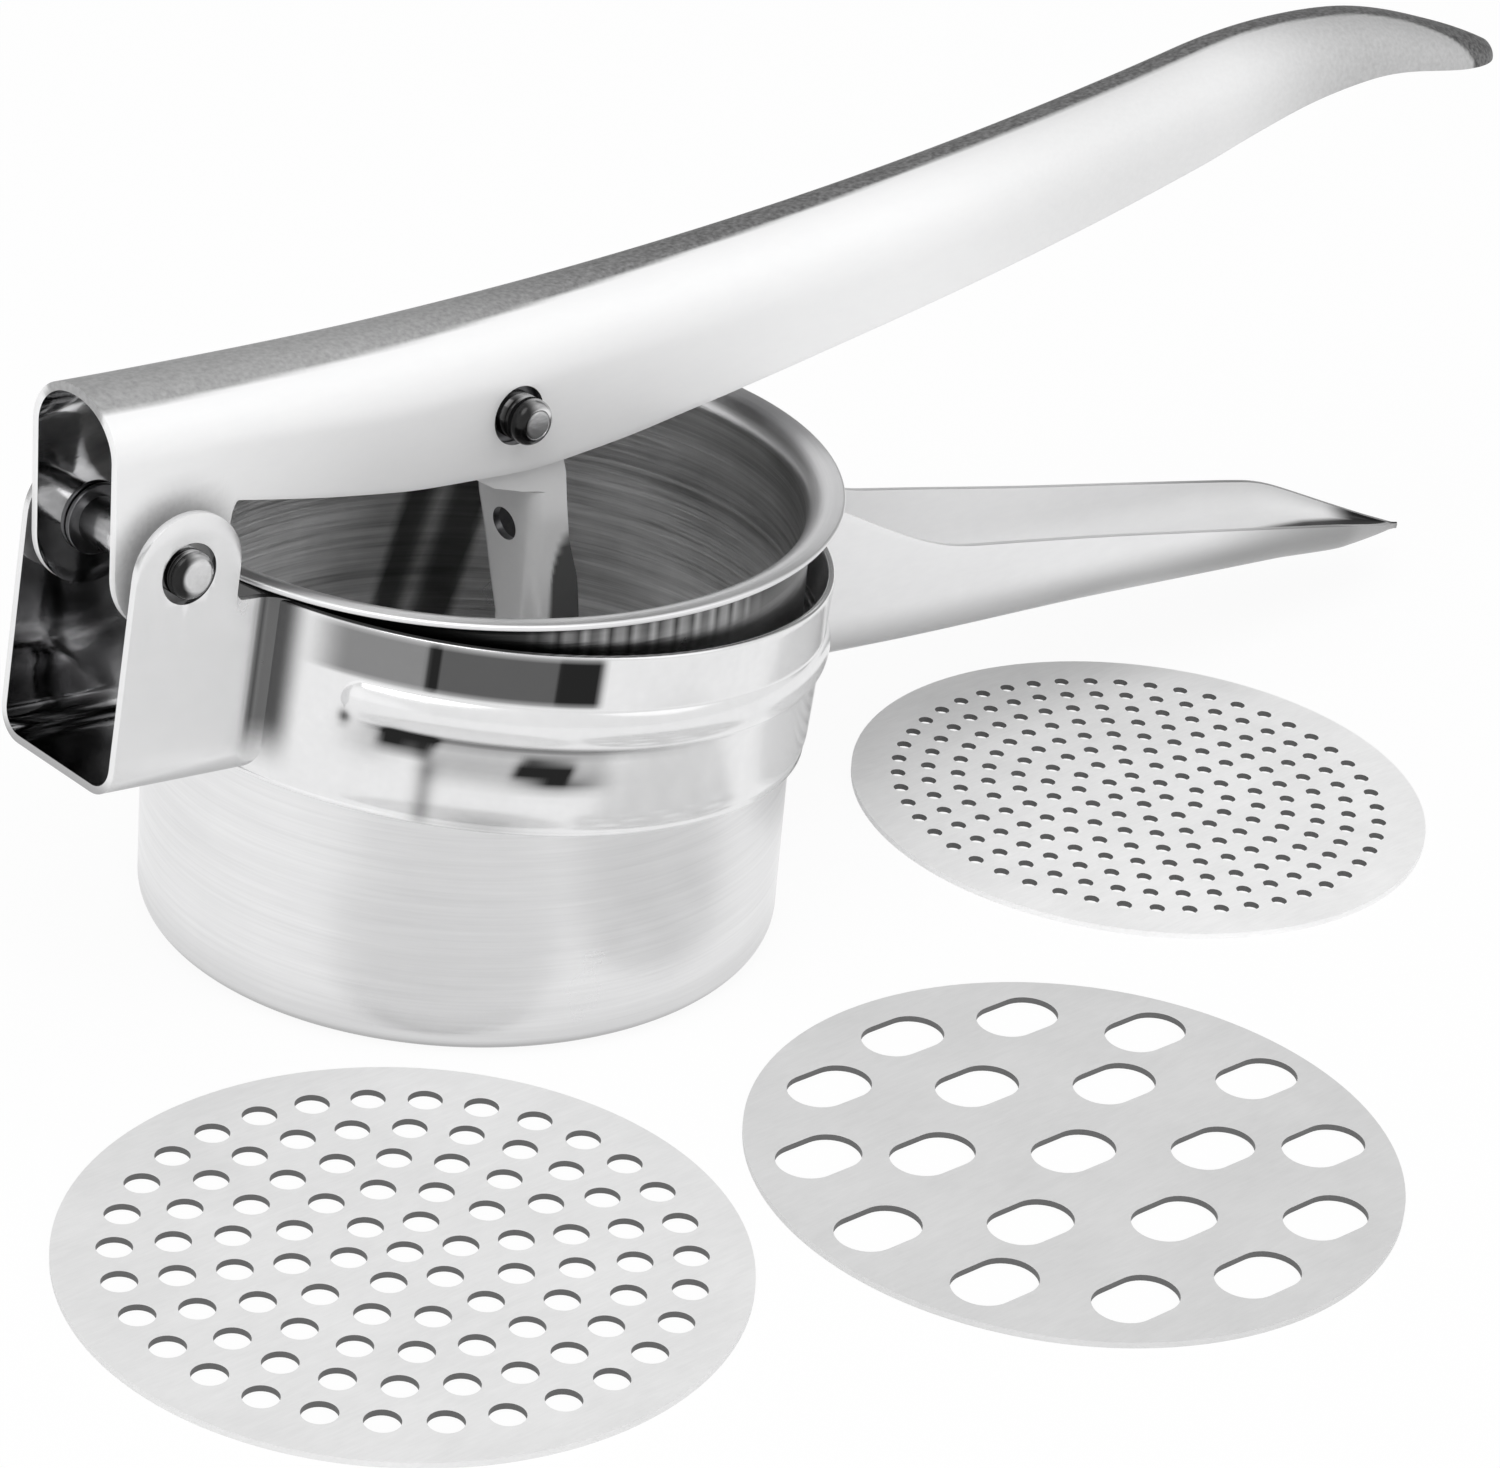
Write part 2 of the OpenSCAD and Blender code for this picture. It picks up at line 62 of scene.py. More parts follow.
Knots = tuple[tuple[float, float], ...]
Thing = bpy.types.Object
Socket = bpy.types.NodeSocket
Material = bpy.types.Material
Rule = Callable[[Array], Array]

SHEET_WELD = 0.004      # millimetres within which a sheet's points merge
BEVEL_ANGLE = 40.0      # degrees past which an edge is rounded
BEVEL_STRIPS = 3
SHARP_ANGLE = 50.0      # degrees past which shading stays sharp
CUTTER_STEPS = 96
CUTTER_REACH = 40.0
LEVEL_NORMAL = 0.2      # a hole's wall has less of its normal than this along the hole
WALL_MATCH = 0.05       # millimetres between a hole's wall and its radius


# ---------------------------------------------------------------- mesh tools


def put(name: str, data: bpy.types.ID) -> Thing:
    """Makes an object of a mesh, a lamp or a camera and links it to the scene."""
    thing = bpy.data.objects.new(name, data)
    bpy.context.scene.collection.objects.link(thing)
    return thing


def smooth_faces(mesh: bpy.types.Mesh) -> None:
    """Shades every face of a mesh smooth."""
    mesh.polygons.foreach_set("use_smooth", np.ones(len(mesh.polygons), dtype=bool))


def read(items: bpy.types.bpy_prop_collection, what: str, kind: type, width: int = 1) -> Array:
    """Reads one property of many items.

    Args:
        items: Points, faces or corners of a mesh.
        what: Name of the property.
        kind: Number type of the array.
        width: How many numbers the property has.

    Returns:
        Array (n,), or (n, width) where the property has several numbers.
    """
    flat = np.empty(width * len(items), dtype=kind)
    items.foreach_get(what, flat)
    return flat.reshape(-1, width) if width > 1 else flat


def grid_object(name: str, points: Array, wrap_u: bool = False, wrap_v: bool = False,
                flip: bool = False) -> Thing:
    """Turns a grid of points into a quad mesh object.

    Args:
        name: Name of the new object.
        points: Array of shape (nu, nv, 3) in millimetres.
        wrap_u: Whether the last row joins the first.
        wrap_v: Whether the last column joins the first.
        flip: Whether the faces are turned round.

    Returns:
        The linked object, at the origin, in metres.
    """
    nu, nv, _ = points.shape
    rows = np.arange(nu if wrap_u else nu - 1)
    cols = np.arange(nv if wrap_v else nv - 1)
    i, j = np.meshgrid(rows, cols, indexing="ij")
    i2, j2 = (i + 1) % nu, (j + 1) % nv
    quads = np.stack([i * nv + j, i2 * nv + j, i2 * nv + j2, i * nv + j2], axis=-1).reshape(-1, 4)
    if flip:
        quads = quads[:, ::-1]
    mesh = bpy.data.meshes.new(name)
    mesh.from_pydata((points.reshape(-1, 3) * MM).tolist(), [], quads.tolist())
    smooth_faces(mesh)
    mesh.update()
    return put(name, mesh)


def revolve(profile: Array, steps: int, along: int = 2, centre: Point = (0.0, 0.0, 0.0)) -> Array:
    """Carries a profile round an axis: every point keeps its radius and its place along it.

    Args:
        profile: Array (n, 2) of radius and place along the axis, in millimetres.
        steps: Number of steps round the axis.
        along: 1 for an axis along Y, 2 for one along Z.
        centre: A point on the axis.

    Returns:
        Array (steps, n, 3).
    """
    turn = np.linspace(0.0, 2.0 * np.pi, steps, endpoint=False)[:, None]
    radius, place = profile[None, :, 0], profile[None, :, 1] + 0.0 * turn
    parts = [radius * np.cos(turn), radius * np.sin(turn)]
    parts.insert(along, place)
    return np.stack(parts, axis=-1) + np.asarray(centre)


def join(parts: Sequence[Thing], name: str, weld: float) -> Thing:
    """Joins objects into one mesh and merges points that lie together.

    Args:
        parts: Objects to join; they are used up.
        name: Name of the joined object.
        weld: Distance in millimetres within which points merge.

    Returns:
        The joined object.
    """
    work = bmesh.new()
    for part in parts:
        work.from_mesh(part.data)
        bpy.data.objects.remove(part)
    bmesh.ops.remove_doubles(work, verts=work.verts, dist=weld * MM)
    mesh = bpy.data.meshes.new(name)
    work.to_mesh(mesh)
    work.free()
    return put(name, mesh)


def bake(thing: Thing) -> None:
    """Applies an object's modifiers to its mesh.

    Args:
        thing: Object whose modifiers are applied and cleared.
    """
    graph = bpy.context.evaluated_depsgraph_get()
    mesh = bpy.data.meshes.new_from_object(thing.evaluated_get(graph))
    old = thing.data
    thing.modifiers.clear()
    thing.data = mesh
    mesh.name = thing.name
    bpy.data.meshes.remove(old)


def shell(name: str, outer: Array, wall: float, outside: Material, inside: Material,
          flip: bool = False) -> Thing:
    """Makes a closed sheet from its outer surface.

    The surface's normal at each grid point is the cross product of its two slopes. The inner
    surface is the outer one moved back along that normal by the wall, never past the middle
    plane, and four strips close the sheet's edges. Points that lie together are then merged,
    and every face is turned outwards.

    Args:
        name: Name of the new object.
        outer: Outer surface as an array (nu, nv, 3) in millimetres.
        wall: Wall in millimetres.
        outside: Finish of the outer surface and the edges.
        inside: Finish of the inner surface.
        flip: Whether the outer side is the other one.

    Returns:
        The closed sheet.
    """
    slope_u, slope_v = np.gradient(outer, axis=0), np.gradient(outer, axis=1)
    normal = np.cross(slope_u, slope_v) * (-1.0 if flip else 1.0)
    normal /= np.maximum(np.linalg.norm(normal, axis=-1, keepdims=True), 1e-9)
    inner = outer - wall * normal
    inner[..., 1] = np.where(inner[..., 1] * outer[..., 1] < 0.0, 0.0, inner[..., 1])
    nu, nv, _ = outer.shape
    index = np.arange(nu * nv).reshape(nu, nv)

    def quads(at: Array) -> Array:
        """Faces of a grid of point numbers."""
        return np.stack([at[:-1, :-1], at[1:, :-1], at[1:, 1:], at[:-1, 1:]], -1).reshape(-1, 4)

    under = index + nu * nv
    faces = np.concatenate([
        quads(index), quads(under)[:, ::-1],
        quads(np.stack([under[0], index[0]])), quads(np.stack([index[-1], under[-1]])),
        quads(np.stack([index[:, 0], under[:, 0]], 1))[:, ::-1],
        quads(np.stack([under[:, -1], index[:, -1]], 1))[:, ::-1]])
    if flip:
        faces = faces[:, ::-1]
    each = (nu - 1) * (nv - 1)
    slot = np.zeros(len(faces), dtype=np.int32)
    slot[each:2 * each] = 1
    mesh = bpy.data.meshes.new(name)
    points = np.concatenate([outer.reshape(-1, 3), inner.reshape(-1, 3)]) * MM
    mesh.from_pydata(points.tolist(), [], faces.tolist())
    mesh.materials.append(outside)
    mesh.materials.append(inside)
    mesh.polygons.foreach_set("material_index", slot)
    mesh.update()
    work = bmesh.new()
    work.from_mesh(mesh)
    bmesh.ops.remove_doubles(work, verts=work.verts, dist=SHEET_WELD * MM)
    bmesh.ops.dissolve_degenerate(work, edges=work.edges, dist=SHEET_WELD * MM * 0.5)
    bmesh.ops.recalc_face_normals(work, faces=work.faces)
    work.to_mesh(mesh)
    work.free()
    return put(name, mesh)


def thicken(thing: Thing, wall: float) -> None:
    """Gives a folded sheet its wall, on the side its faces point away from.

    Args:
        thing: Open sheet whose faces point outwards.
        wall: Wall in millimetres.
    """
    solid = thing.modifiers.new("wall", "SOLIDIFY")
    solid.thickness = wall * MM
    solid.offset = -1.0
    solid.use_even_offset = False
    solid.material_offset = 1
    bake(thing)


def soften(thing: Thing, width: float) -> None:
    """Rounds the sharp edges of a closed mesh and evens its shading.

    Args:
        thing: Object to finish.
        width: Width of the rounding in millimetres.
    """
    bevel = thing.modifiers.new("edges", "BEVEL")
    bevel.width = width * MM
    bevel.segments = BEVEL_STRIPS
    bevel.limit_method = "ANGLE"
    bevel.angle_limit = math.radians(BEVEL_ANGLE)
    bevel.use_clamp_overlap = True
    bake(thing)
    smooth_faces(thing.data)
    thing.data.set_sharp_from_angle(angle=math.radians(SHARP_ANGLE))


def drill(thing: Thing, centre: Point, radius: float, along: int = 1) -> None:
    """Cuts a round hole along Y or X through a closed mesh and gives its wall the second finish.

    The cutter is a ring of points round the hole's axis, carried from one end to the other. The
    hole's wall is told by its radius and by normals that stand square to the axis.

    Args:
        thing: Object to drill.
        centre: A point on the hole's axis in millimetres.
        radius: Radius in millimetres.
        along: 0 for a hole along X, 1 for one along Y.
    """
    turn = np.linspace(0.0, 2.0 * np.pi, CUTTER_STEPS, endpoint=False)
    ring = np.zeros((CUTTER_STEPS, 3))
    ring[:, 1 - along] = radius * np.cos(turn)
    ring[:, 2] = radius * np.sin(turn)
    step = np.zeros(3)
    step[along] = CUTTER_REACH
    ends = np.stack([ring - step, ring + step]) + np.asarray(centre)
    cutter = grid_object("cutter", ends, wrap_v=True)
    work = bmesh.new()
    work.from_mesh(cutter.data)
    bmesh.ops.holes_fill(work, edges=work.edges)
    bmesh.ops.recalc_face_normals(work, faces=work.faces)
    work.to_mesh(cutter.data)
    work.free()
    cut = thing.modifiers.new("hole", "BOOLEAN")
    cut.operation = "DIFFERENCE"
    cut.solver = "EXACT"
    cut.object = cutter
    bake(thing)
    bpy.data.objects.remove(cutter)
    faces = thing.data.polygons
    off = read(faces, "center", np.float32, 3) / MM - np.asarray(centre)
    off[:, along] = 0.0
    level = np.abs(read(faces, "normal", np.float32, 3)[:, along]) < LEVEL_NORMAL
    slot = read(faces, "material_index", np.int32)
    slot[level & (np.abs(np.linalg.norm(off, axis=1) - radius) < WALL_MATCH)] = 1
    faces.foreach_set("material_index", slot)


def painted_shading(thing: Thing, rule: Rule, lining: Rule | None = None) -> None:
    """Keeps a painted shade between 0 and 1 at each point of a mesh, for its finish to read.

    Args:
        thing: Object whose mesh gets the point attribute of painted shade.
        rule: Gives the painted shade for points in millimetres: 1 leaves the finish's own colour.
        lining: The same for points whose faces are mostly in the second finish.
    """
    mesh = thing.data
    points = read(mesh.vertices, "co", np.float32, 3).astype(float) / MM
    values = rule(points)
    if lining is not None:
        corners = read(mesh.loops, "vertex_index", np.int32)
        sizes = read(mesh.polygons, "loop_total", np.int32)
        slots = read(mesh.polygons, "material_index", np.int32)
        count = np.maximum(np.bincount(corners, minlength=len(points)), 1)
        share = np.bincount(corners, np.repeat(slots, sizes), len(points)) / count
        values = np.where(share > 0.5, lining(points), values)
    # the attribute holds painted shade: painted shadows, shade and reflections laid into the
    # colour
    layer = mesh.attributes.new("painted_shading", "FLOAT", "POINT")
    layer.data.foreach_set("value", np.clip(values, 0.0, 1.0).astype(np.float32))


def smooth(t: Array) -> Array:
    """Smoothstep of t, held between 0 and 1: 3t squared less 2t cubed."""
    t = np.clip(t, 0.0, 1.0)
    return t * t * (3.0 - 2.0 * t)


def ramp(t: Array, start: float, stop: float) -> Array:
    """Smooth rise from 0 at start to 1 at stop, which may lie either way."""
    return smooth((t - start) / (stop - start))


def window(t: Array, low: float, high: float, soft: float) -> Array:
    """One between low and high, zero outside, with smooth edges that are soft wide."""
    return smooth((t - low) / soft + 0.5) * smooth((high - t) / soft + 0.5)


def spot(across: Array, down: Array | float = 0.0) -> Array:
    """A soft round spot: e to the minus (across squared plus down squared)."""
    return np.exp(-(across ** 2 + down ** 2))


def knotted(t: Array, knots: Knots) -> Array:
    """Straight lines between knots of place and value."""
    places, values = zip(*knots)
    return np.interp(t, places, values)


def arc(centre: tuple[float, float], radius: float, start: float, stop: float,
        count: int = 12) -> Array:
    """Points along a circular arc in a plane.

    Args:
        centre: Centre of the arc.
        radius: Radius of the arc.
        start: First angle in degrees.
        stop: Last angle in degrees.
        count: Number of points.

    Returns:
        Array (count, 2).
    """
    angle = np.radians(np.linspace(start, stop, count))
    return np.stack([centre[0] + radius * np.cos(angle), centre[1] + radius * np.sin(angle)], -1)


def chain(*pieces: Array | Sequence[tuple[float, float]]) -> Array:
    """Strings stretches of points together into one profile."""
    return np.concatenate([np.asarray(piece, dtype=float).reshape(-1, 2) for piece in pieces])


# ---------------------------------------------------------------- finishes


SCRATCH_DEPTH = 0.03    # how far a scratch lowers the surface and dulls it
FLECK_SCALE = 1500.0
ROUGH_SHARE = 0.6       # part of the mottling that also dulls the surface
LINE_SHARE = 0.6        # part of the grain that comes from the brushing
BUMP_DISTANCE = 0.0002
TURN_PITCH = 0.04       # stretch of the brushing round an axis
TURN_GLOSS = 0.55       # anisotropy of turned steel


class Brushing(Enum):
    """How the fine brushing runs on a piece."""

    STRAIGHT = "straight"
    ROUND = "round"


class Nodes:
    """A thin helper that adds and links shader nodes in one tree."""

    def __init__(self, tree: bpy.types.NodeTree) -> None:
        """Keeps the tree.

        Args:
            tree: Node tree to fill.
        """
        self.tree = tree

    def feed(self, target: Socket, value: object) -> None:
        """Links a socket to an input, or sets the input to a plain value."""
        if isinstance(value, Socket):
            self.tree.links.new(value, target)
        else:
            target.default_value = value

    def add(self, kind: str, inputs: dict[str | int, object] | None = None,
            **values: object) -> bpy.types.Node:
        """Adds a node, sets its attributes and then feeds its inputs.

        Args:
            kind: Node type name, without its prefix where that is ShaderNode.
            inputs: Socket or plain value for each named or numbered input.
            **values: Attributes of the node.

        Returns:
            The new node.
        """
        node = self.tree.nodes.new(kind if kind.startswith("Node") else "ShaderNode" + kind)
        for key, value in values.items():
            setattr(node, key, value)
        for key, value in (inputs or {}).items():
            self.feed(node.inputs[key], value)
        return node

    def math(self, operation: str, *terms: object) -> Socket:
        """Adds a Math node of one or two terms, each a socket or a number."""
        return self.add("Math", dict(enumerate(terms)), operation=operation).outputs[0]

    def blend(self, first: Socket, second: Socket, share: float) -> Socket:
        """Adds share of the first value to the rest of the second."""
        return self.math("ADD", self.math("MULTIPLY", first, share),
                         self.math("MULTIPLY", second, 1.0 - share))

    def far(self, x: Socket, y: Socket) -> Socket:
        """Distance from an axis: the root of x squared plus y squared."""
        return self.math("SQRT", self.math("ADD", self.math("MULTIPLY", x, x),
                                           self.math("MULTIPLY", y, y)))

    def spread(self, value: Socket, low: float, high: float) -> Socket:
        """Maps a value of 0 to 1 onto low to high."""
        return self.add("MapRange", {"Value": value, "To Min": low, "To Max": high}).outputs[0]

    def ease(self, value: Socket, start: float, stop: float, low: float = 0.0,
             high: float = 1.0) -> Socket:
        """Maps a value smoothly.

        Args:
            value: Socket to map.
            start: Value that gives low.
            stop: Value that gives high.
            low: Result at the start.
            high: Result at the stop.

        Returns:
            The mapped socket.
        """
        return self.add("MapRange", {"Value": value, "From Min": start, "From Max": stop,
                                     "To Min": low, "To Max": high},
                        interpolation_type="SMOOTHSTEP").outputs[0]

    def mix(self, factor: Socket, first: Socket | Point, second: Socket | Point) -> Socket:
        """Mixes two colours.

        Args:
            factor: 0 for the first colour, 1 for the second.
            first: Socket, or red, green and blue.
            second: Socket, or red, green and blue.

        Returns:
            The mixed colour.
        """
        node = self.add("Mix", data_type="RGBA")
        for key, value in (("Factor", factor), ("A", first), ("B", second)):
            self.feed(node.inputs[key], (*value, 1.0) if isinstance(value, tuple) else value)
        return node.outputs["Result"]


def new_group(name: str, inputs: dict[str, float | None], outputs: Sequence[str]
              ) -> tuple[bpy.types.NodeTree, Nodes, bpy.types.Node, bpy.types.Node]:
    """Makes a shader node group with named sockets.

    Args:
        name: Name of the group.
        inputs: Default value of each input, or None for a vector.
        outputs: Name of each output, which is a plain value.

    Returns:
        The group, a helper for its tree, and its input and output nodes.
    """
    group = bpy.data.node_groups.new(name, "ShaderNodeTree")
    for title, default in inputs.items():
        kind = "NodeSocketVector" if default is None else "NodeSocketFloat"
        socket = group.interface.new_socket(title, in_out="INPUT", socket_type=kind)
        if default is not None:
            socket.default_value = default
    for title in outputs:
        group.interface.new_socket(title, in_out="OUTPUT", socket_type="NodeSocketFloat")
    nodes = Nodes(group)
    return group, nodes, nodes.add("NodeGroupInput"), nodes.add("NodeGroupOutput")


def brushed_group() -> bpy.types.NodeTree:
    """Group of fine parallel brushing: noise that is stretched along one direction.

    The vector's first part runs along the brushing and the other two across it.

    Returns:
        The group, with a Height and a Tone output.
    """
    group, nodes, into, out = new_group(
        "BrushedLines", {"Vector": None, "Across": 3000.0, "Along": 60.0}, ("Height", "Tone"))
    split = nodes.add("SeparateXYZ", {0: into.outputs["Vector"]})
    grains = []
    for share in (1.0, 0.31):
        across = nodes.math("MULTIPLY", into.outputs["Across"], share)
        merged = nodes.add("CombineXYZ", {
            0: nodes.math("MULTIPLY", split.outputs[0], into.outputs["Along"]),
            1: nodes.math("MULTIPLY", split.outputs[1], across),
            2: nodes.math("MULTIPLY", split.outputs[2], across)})
        noise = nodes.add("TexNoise", {"Vector": merged.outputs[0], "Scale": 1.0, "Detail": 3.0,
                                       "Roughness": 0.6})
        grains.append(noise.outputs["Fac"])
    both = nodes.blend(grains[0], grains[1], 0.5)
    nodes.feed(out.inputs["Height"], both)
    nodes.feed(out.inputs["Tone"], nodes.spread(both, -0.6, 1.6))
    return group


def smudge_group() -> bpy.types.NodeTree:
    """Group of soft handling marks: cloudy noise, and fine scratches of stretched noise.

    Returns:
        The group, with a Smudge and a Scratch output.
    """
    group, nodes, into, out = new_group(
        "HandlingMarks", {"Vector": None, "Size": 40.0}, ("Smudge", "Scratch"))
    place, size = into.outputs["Vector"], into.outputs["Size"]
    cloud = nodes.add("TexNoise", {"Vector": place, "Scale": size, "Detail": 5.0})
    nodes.feed(out.inputs["Smudge"], nodes.spread(cloud.outputs["Fac"], -0.5, 1.5))
    stretch = nodes.add("VectorMath", {0: place, 1: (0.35, 30.0, 30.0)}, operation="MULTIPLY")
    hair = nodes.add("TexNoise", {"Vector": stretch.outputs[0], "Scale": size, "Detail": 2.0})
    nodes.feed(out.inputs["Scratch"], nodes.ease(hair.outputs["Fac"], 0.58, 0.80))
    return group


@dataclass(frozen=True)
class SteelFinish:
    """One steel finish, with its colour, gloss and marks.

    The attribute of painted shade mixes the colour with a dark grey where shade is given: shade
    is the painted shade's grey at 0, and mottle adds light flecks to it.
    """

    light: Point
    dark: Point
    rough_low: float
    rough_high: float
    bump: float
    across: float = 3000.0
    along: float = 60.0
    marks: float = 45.0
    metal: float = 1.0
    shade: float | None = None
    mottle: float = 0.0
    contrast: float = 1.0
    brushing: Brushing = Brushing.STRAIGHT

    def material(self, name: str) -> Material:
        """Builds the finish as a node material.

        Args:
            name: Name of the material.

        Returns:
            The material.
        """
        made = bpy.data.materials.new(name)
        made.use_nodes = True
        nodes = Nodes(made.node_tree)
        shader = made.node_tree.nodes["Principled BSDF"]
        shader.inputs["Metallic"].default_value = self.metal
        place = nodes.add("TexCoord").outputs["Object"]
        marks = nodes.add("Group", {"Vector": place, "Size": self.marks},
                          node_tree=bpy.data.node_groups["HandlingMarks"]).outputs
        lines = nodes.add("Group", {"Vector": self._direction(nodes, place),
                                    "Across": self.across, "Along": self.along},
                          node_tree=bpy.data.node_groups["BrushedLines"]).outputs
        half = (1.0 - self.contrast) / 2.0
        grain = nodes.spread(nodes.blend(lines["Tone"], marks["Smudge"], LINE_SHARE),
                             half, 1.0 - half)
        colour = nodes.mix(grain, self.dark, self.light)
        rough = nodes.spread(marks["Smudge"], self.rough_low, self.rough_high)
        # painted shade: the point attribute darkens the colour towards the shade grey
        if self.shade is not None:
            kept = nodes.add("Attribute", attribute_name="painted_shading").outputs["Fac"]
            lack = nodes.math("SUBTRACT", 1.0, kept)
            fleck = nodes.add("TexNoise", {"Vector": place, "Scale": FLECK_SCALE, "Detail": 4.0})
            light = nodes.math("MULTIPLY", nodes.spread(fleck.outputs["Fac"], -1.0, 2.0),
                               self.mottle)
            kept = nodes.math("ADD", kept, nodes.math("MULTIPLY", lack, light))
            colour = nodes.mix(kept, (self.shade,) * 3, colour)
            dull = nodes.math("MULTIPLY", lack, self.mottle * ROUGH_SHARE)
            rough = nodes.math("ADD", rough, dull)
        scratch = nodes.math("MULTIPLY", marks["Scratch"], SCRATCH_DEPTH)
        bump = nodes.add("Bump", {"Strength": self.bump, "Distance": BUMP_DISTANCE,
                                  "Height": nodes.math("SUBTRACT", lines["Height"], scratch)})
        nodes.feed(shader.inputs["Base Color"], colour)
        nodes.feed(shader.inputs["Roughness"], nodes.math("ADD", rough, scratch))
        nodes.feed(shader.inputs["Normal"], bump.outputs["Normal"])
        if self.brushing is Brushing.ROUND:
            shader.inputs["Anisotropic"].default_value = TURN_GLOSS
            tangent = nodes.add("Tangent", direction_type="RADIAL", axis="Z")
            nodes.feed(shader.inputs["Tangent"], tangent.outputs[0])
        return made

    def _direction(self, nodes: Nodes, place: Socket) -> Socket:
        """Gives coordinates whose first part runs along the brushing.

        Args:
            nodes: Helper of the material's tree.
            place: Object coordinates.

        Returns:
            Angle, radius and height for round brushing, and plain coordinates otherwise.
        """
        if self.brushing is Brushing.STRAIGHT:
            return place
        x, y, z = nodes.add("SeparateXYZ", {0: place}).outputs
        angle = nodes.math("ABSOLUTE", nodes.math("ARCTAN2", y, x))
        return nodes.add("CombineXYZ", {0: nodes.math("MULTIPLY", angle, TURN_PITCH),
                                        1: nodes.far(x, y), 2: z}).outputs[0]


BAND_MIRROR = SteelFinish((0.86, 0.86, 0.865), (0.78, 0.78, 0.785), 0.15, 0.21,
                          0.04, across=900.0, along=500.0, shade=0.02)
CHANNEL_MIRROR = SteelFinish((0.86, 0.86, 0.865), (0.80, 0.80, 0.805), 0.18, 0.28,
                             0.04, across=900.0, along=500.0, metal=0.75, shade=0.02)
INSIDE_MIRROR = SteelFinish((0.85, 0.85, 0.855), (0.26, 0.26, 0.265), 0.04, 0.12,
                            0.25, across=260.0, along=120.0, contrast=1.5)
HANDLE_SHEET = SteelFinish((0.86, 0.86, 0.865), (0.80, 0.80, 0.805), 0.30, 0.40,
                           0.06, across=1400.0, along=300.0, metal=0.45, shade=0.14)
# lighter, nearly matte copy of the handle's steel for its inside: painted light in the hollow
HANDLE_INSIDE = SteelFinish((0.96, 0.96, 0.96), (0.90, 0.90, 0.905), 0.42, 0.52,
                            0.05, across=1400.0, along=300.0, metal=0.05, shade=0.02)
LEVER_SHEET = SteelFinish((0.89, 0.89, 0.89), (0.86, 0.86, 0.865), 0.38, 0.48,
                          0.05, across=1400.0, along=300.0, metal=0.2, shade=0.03, mottle=0.16)
# near white and mostly matte: painted light on the bracket, which sits in the shade of lever and
# cup
BRACKET_STEEL_PAINTED_LIGHT = SteelFinish((0.98, 0.98, 0.98), (0.93, 0.93, 0.935), 0.10, 0.20,
                             0.05, across=900.0, along=500.0, metal=0.12, shade=0.05)
CUP_SATIN = SteelFinish((0.90, 0.90, 0.905), (0.72, 0.72, 0.725), 0.26, 0.36,
                        0.20, across=2600.0, along=45.0, shade=0.05,
                        brushing=Brushing.ROUND)
CUP_INSIDE = SteelFinish((1.0, 1.0, 1.0), (0.42, 0.42, 0.42), 0.24, 0.38,
                         0.60, across=1500.0, along=30.0, contrast=2.2, shade=0.01,
                         brushing=Brushing.ROUND)
PRESS_SATIN = SteelFinish((0.60, 0.60, 0.605), (0.34, 0.34, 0.345), 0.26, 0.36,
                          0.25, across=2400.0, along=40.0, brushing=Brushing.ROUND)
DISC_SHEET = SteelFinish((0.78, 0.78, 0.78), (0.66, 0.66, 0.66), 0.46, 0.56,
                         0.16, across=2600.0, along=250.0, marks=70.0, metal=0.1)
PIN_STEEL = SteelFinish((0.84, 0.84, 0.845), (0.66, 0.66, 0.665), 0.14, 0.26,
                        0.15, across=1500.0, along=900.0, marks=160.0, shade=0.03)
# dark steel of the retaining rings, also laid as painted shade on the bracket's inner side
RING_STEEL_AND_PAINTED_SHADE = SteelFinish((0.22, 0.22, 0.225), (0.10, 0.10, 0.105), 0.24, 0.38,
                         0.15, across=1500.0, along=900.0, marks=160.0)


# ---------------------------------------------------------------- the part's own places


@dataclass(frozen=True)
class Places:
    """Where the frame hangs and where its pins are, in millimetres."""

    tilt: float = math.radians(6.3)
    band_x: float = -1.3113
    band_z: float = 30.4940
    pivot: Point = (-54.3491, 0.0, 65.0226)
    press: Point = (-1.9491, 0.0, 72.0226)
    pivot_local: tuple[float, float] = (-56.5065, 28.5)

    def from_frame(self, points: Array) -> Array:
        """Takes points from the frame's tilted coordinates to the part's.

        Args:
            points: Array (..., 3) in the frame's coordinates.

        Returns:
            The same points turned about Y by the tilt and moved to the band's place.
        """
        c, s = math.cos(self.tilt), math.sin(self.tilt)
        x, y, z = points[..., 0], points[..., 1], points[..., 2]
        return np.stack([self.band_x + x * c + z * s, y, self.band_z - x * s + z * c], -1)

    def to_frame(self, points: Array) -> Array:
        """Takes points from the part's coordinates back to the frame's tilted ones.

        Args:
            points: Array (..., 3) in the part's coordinates.

        Returns:
            The same points in the frame's coordinates.
        """
        c, s = math.cos(self.tilt), math.sin(self.tilt)
        x, y, z = points[..., 0] - self.band_x, points[..., 1], points[..., 2] - self.band_z
        return np.stack([x * c - z * s, y, x * s + z * c], -1)


PLACES = Places()


# ---------------------------------------------------------------- cup


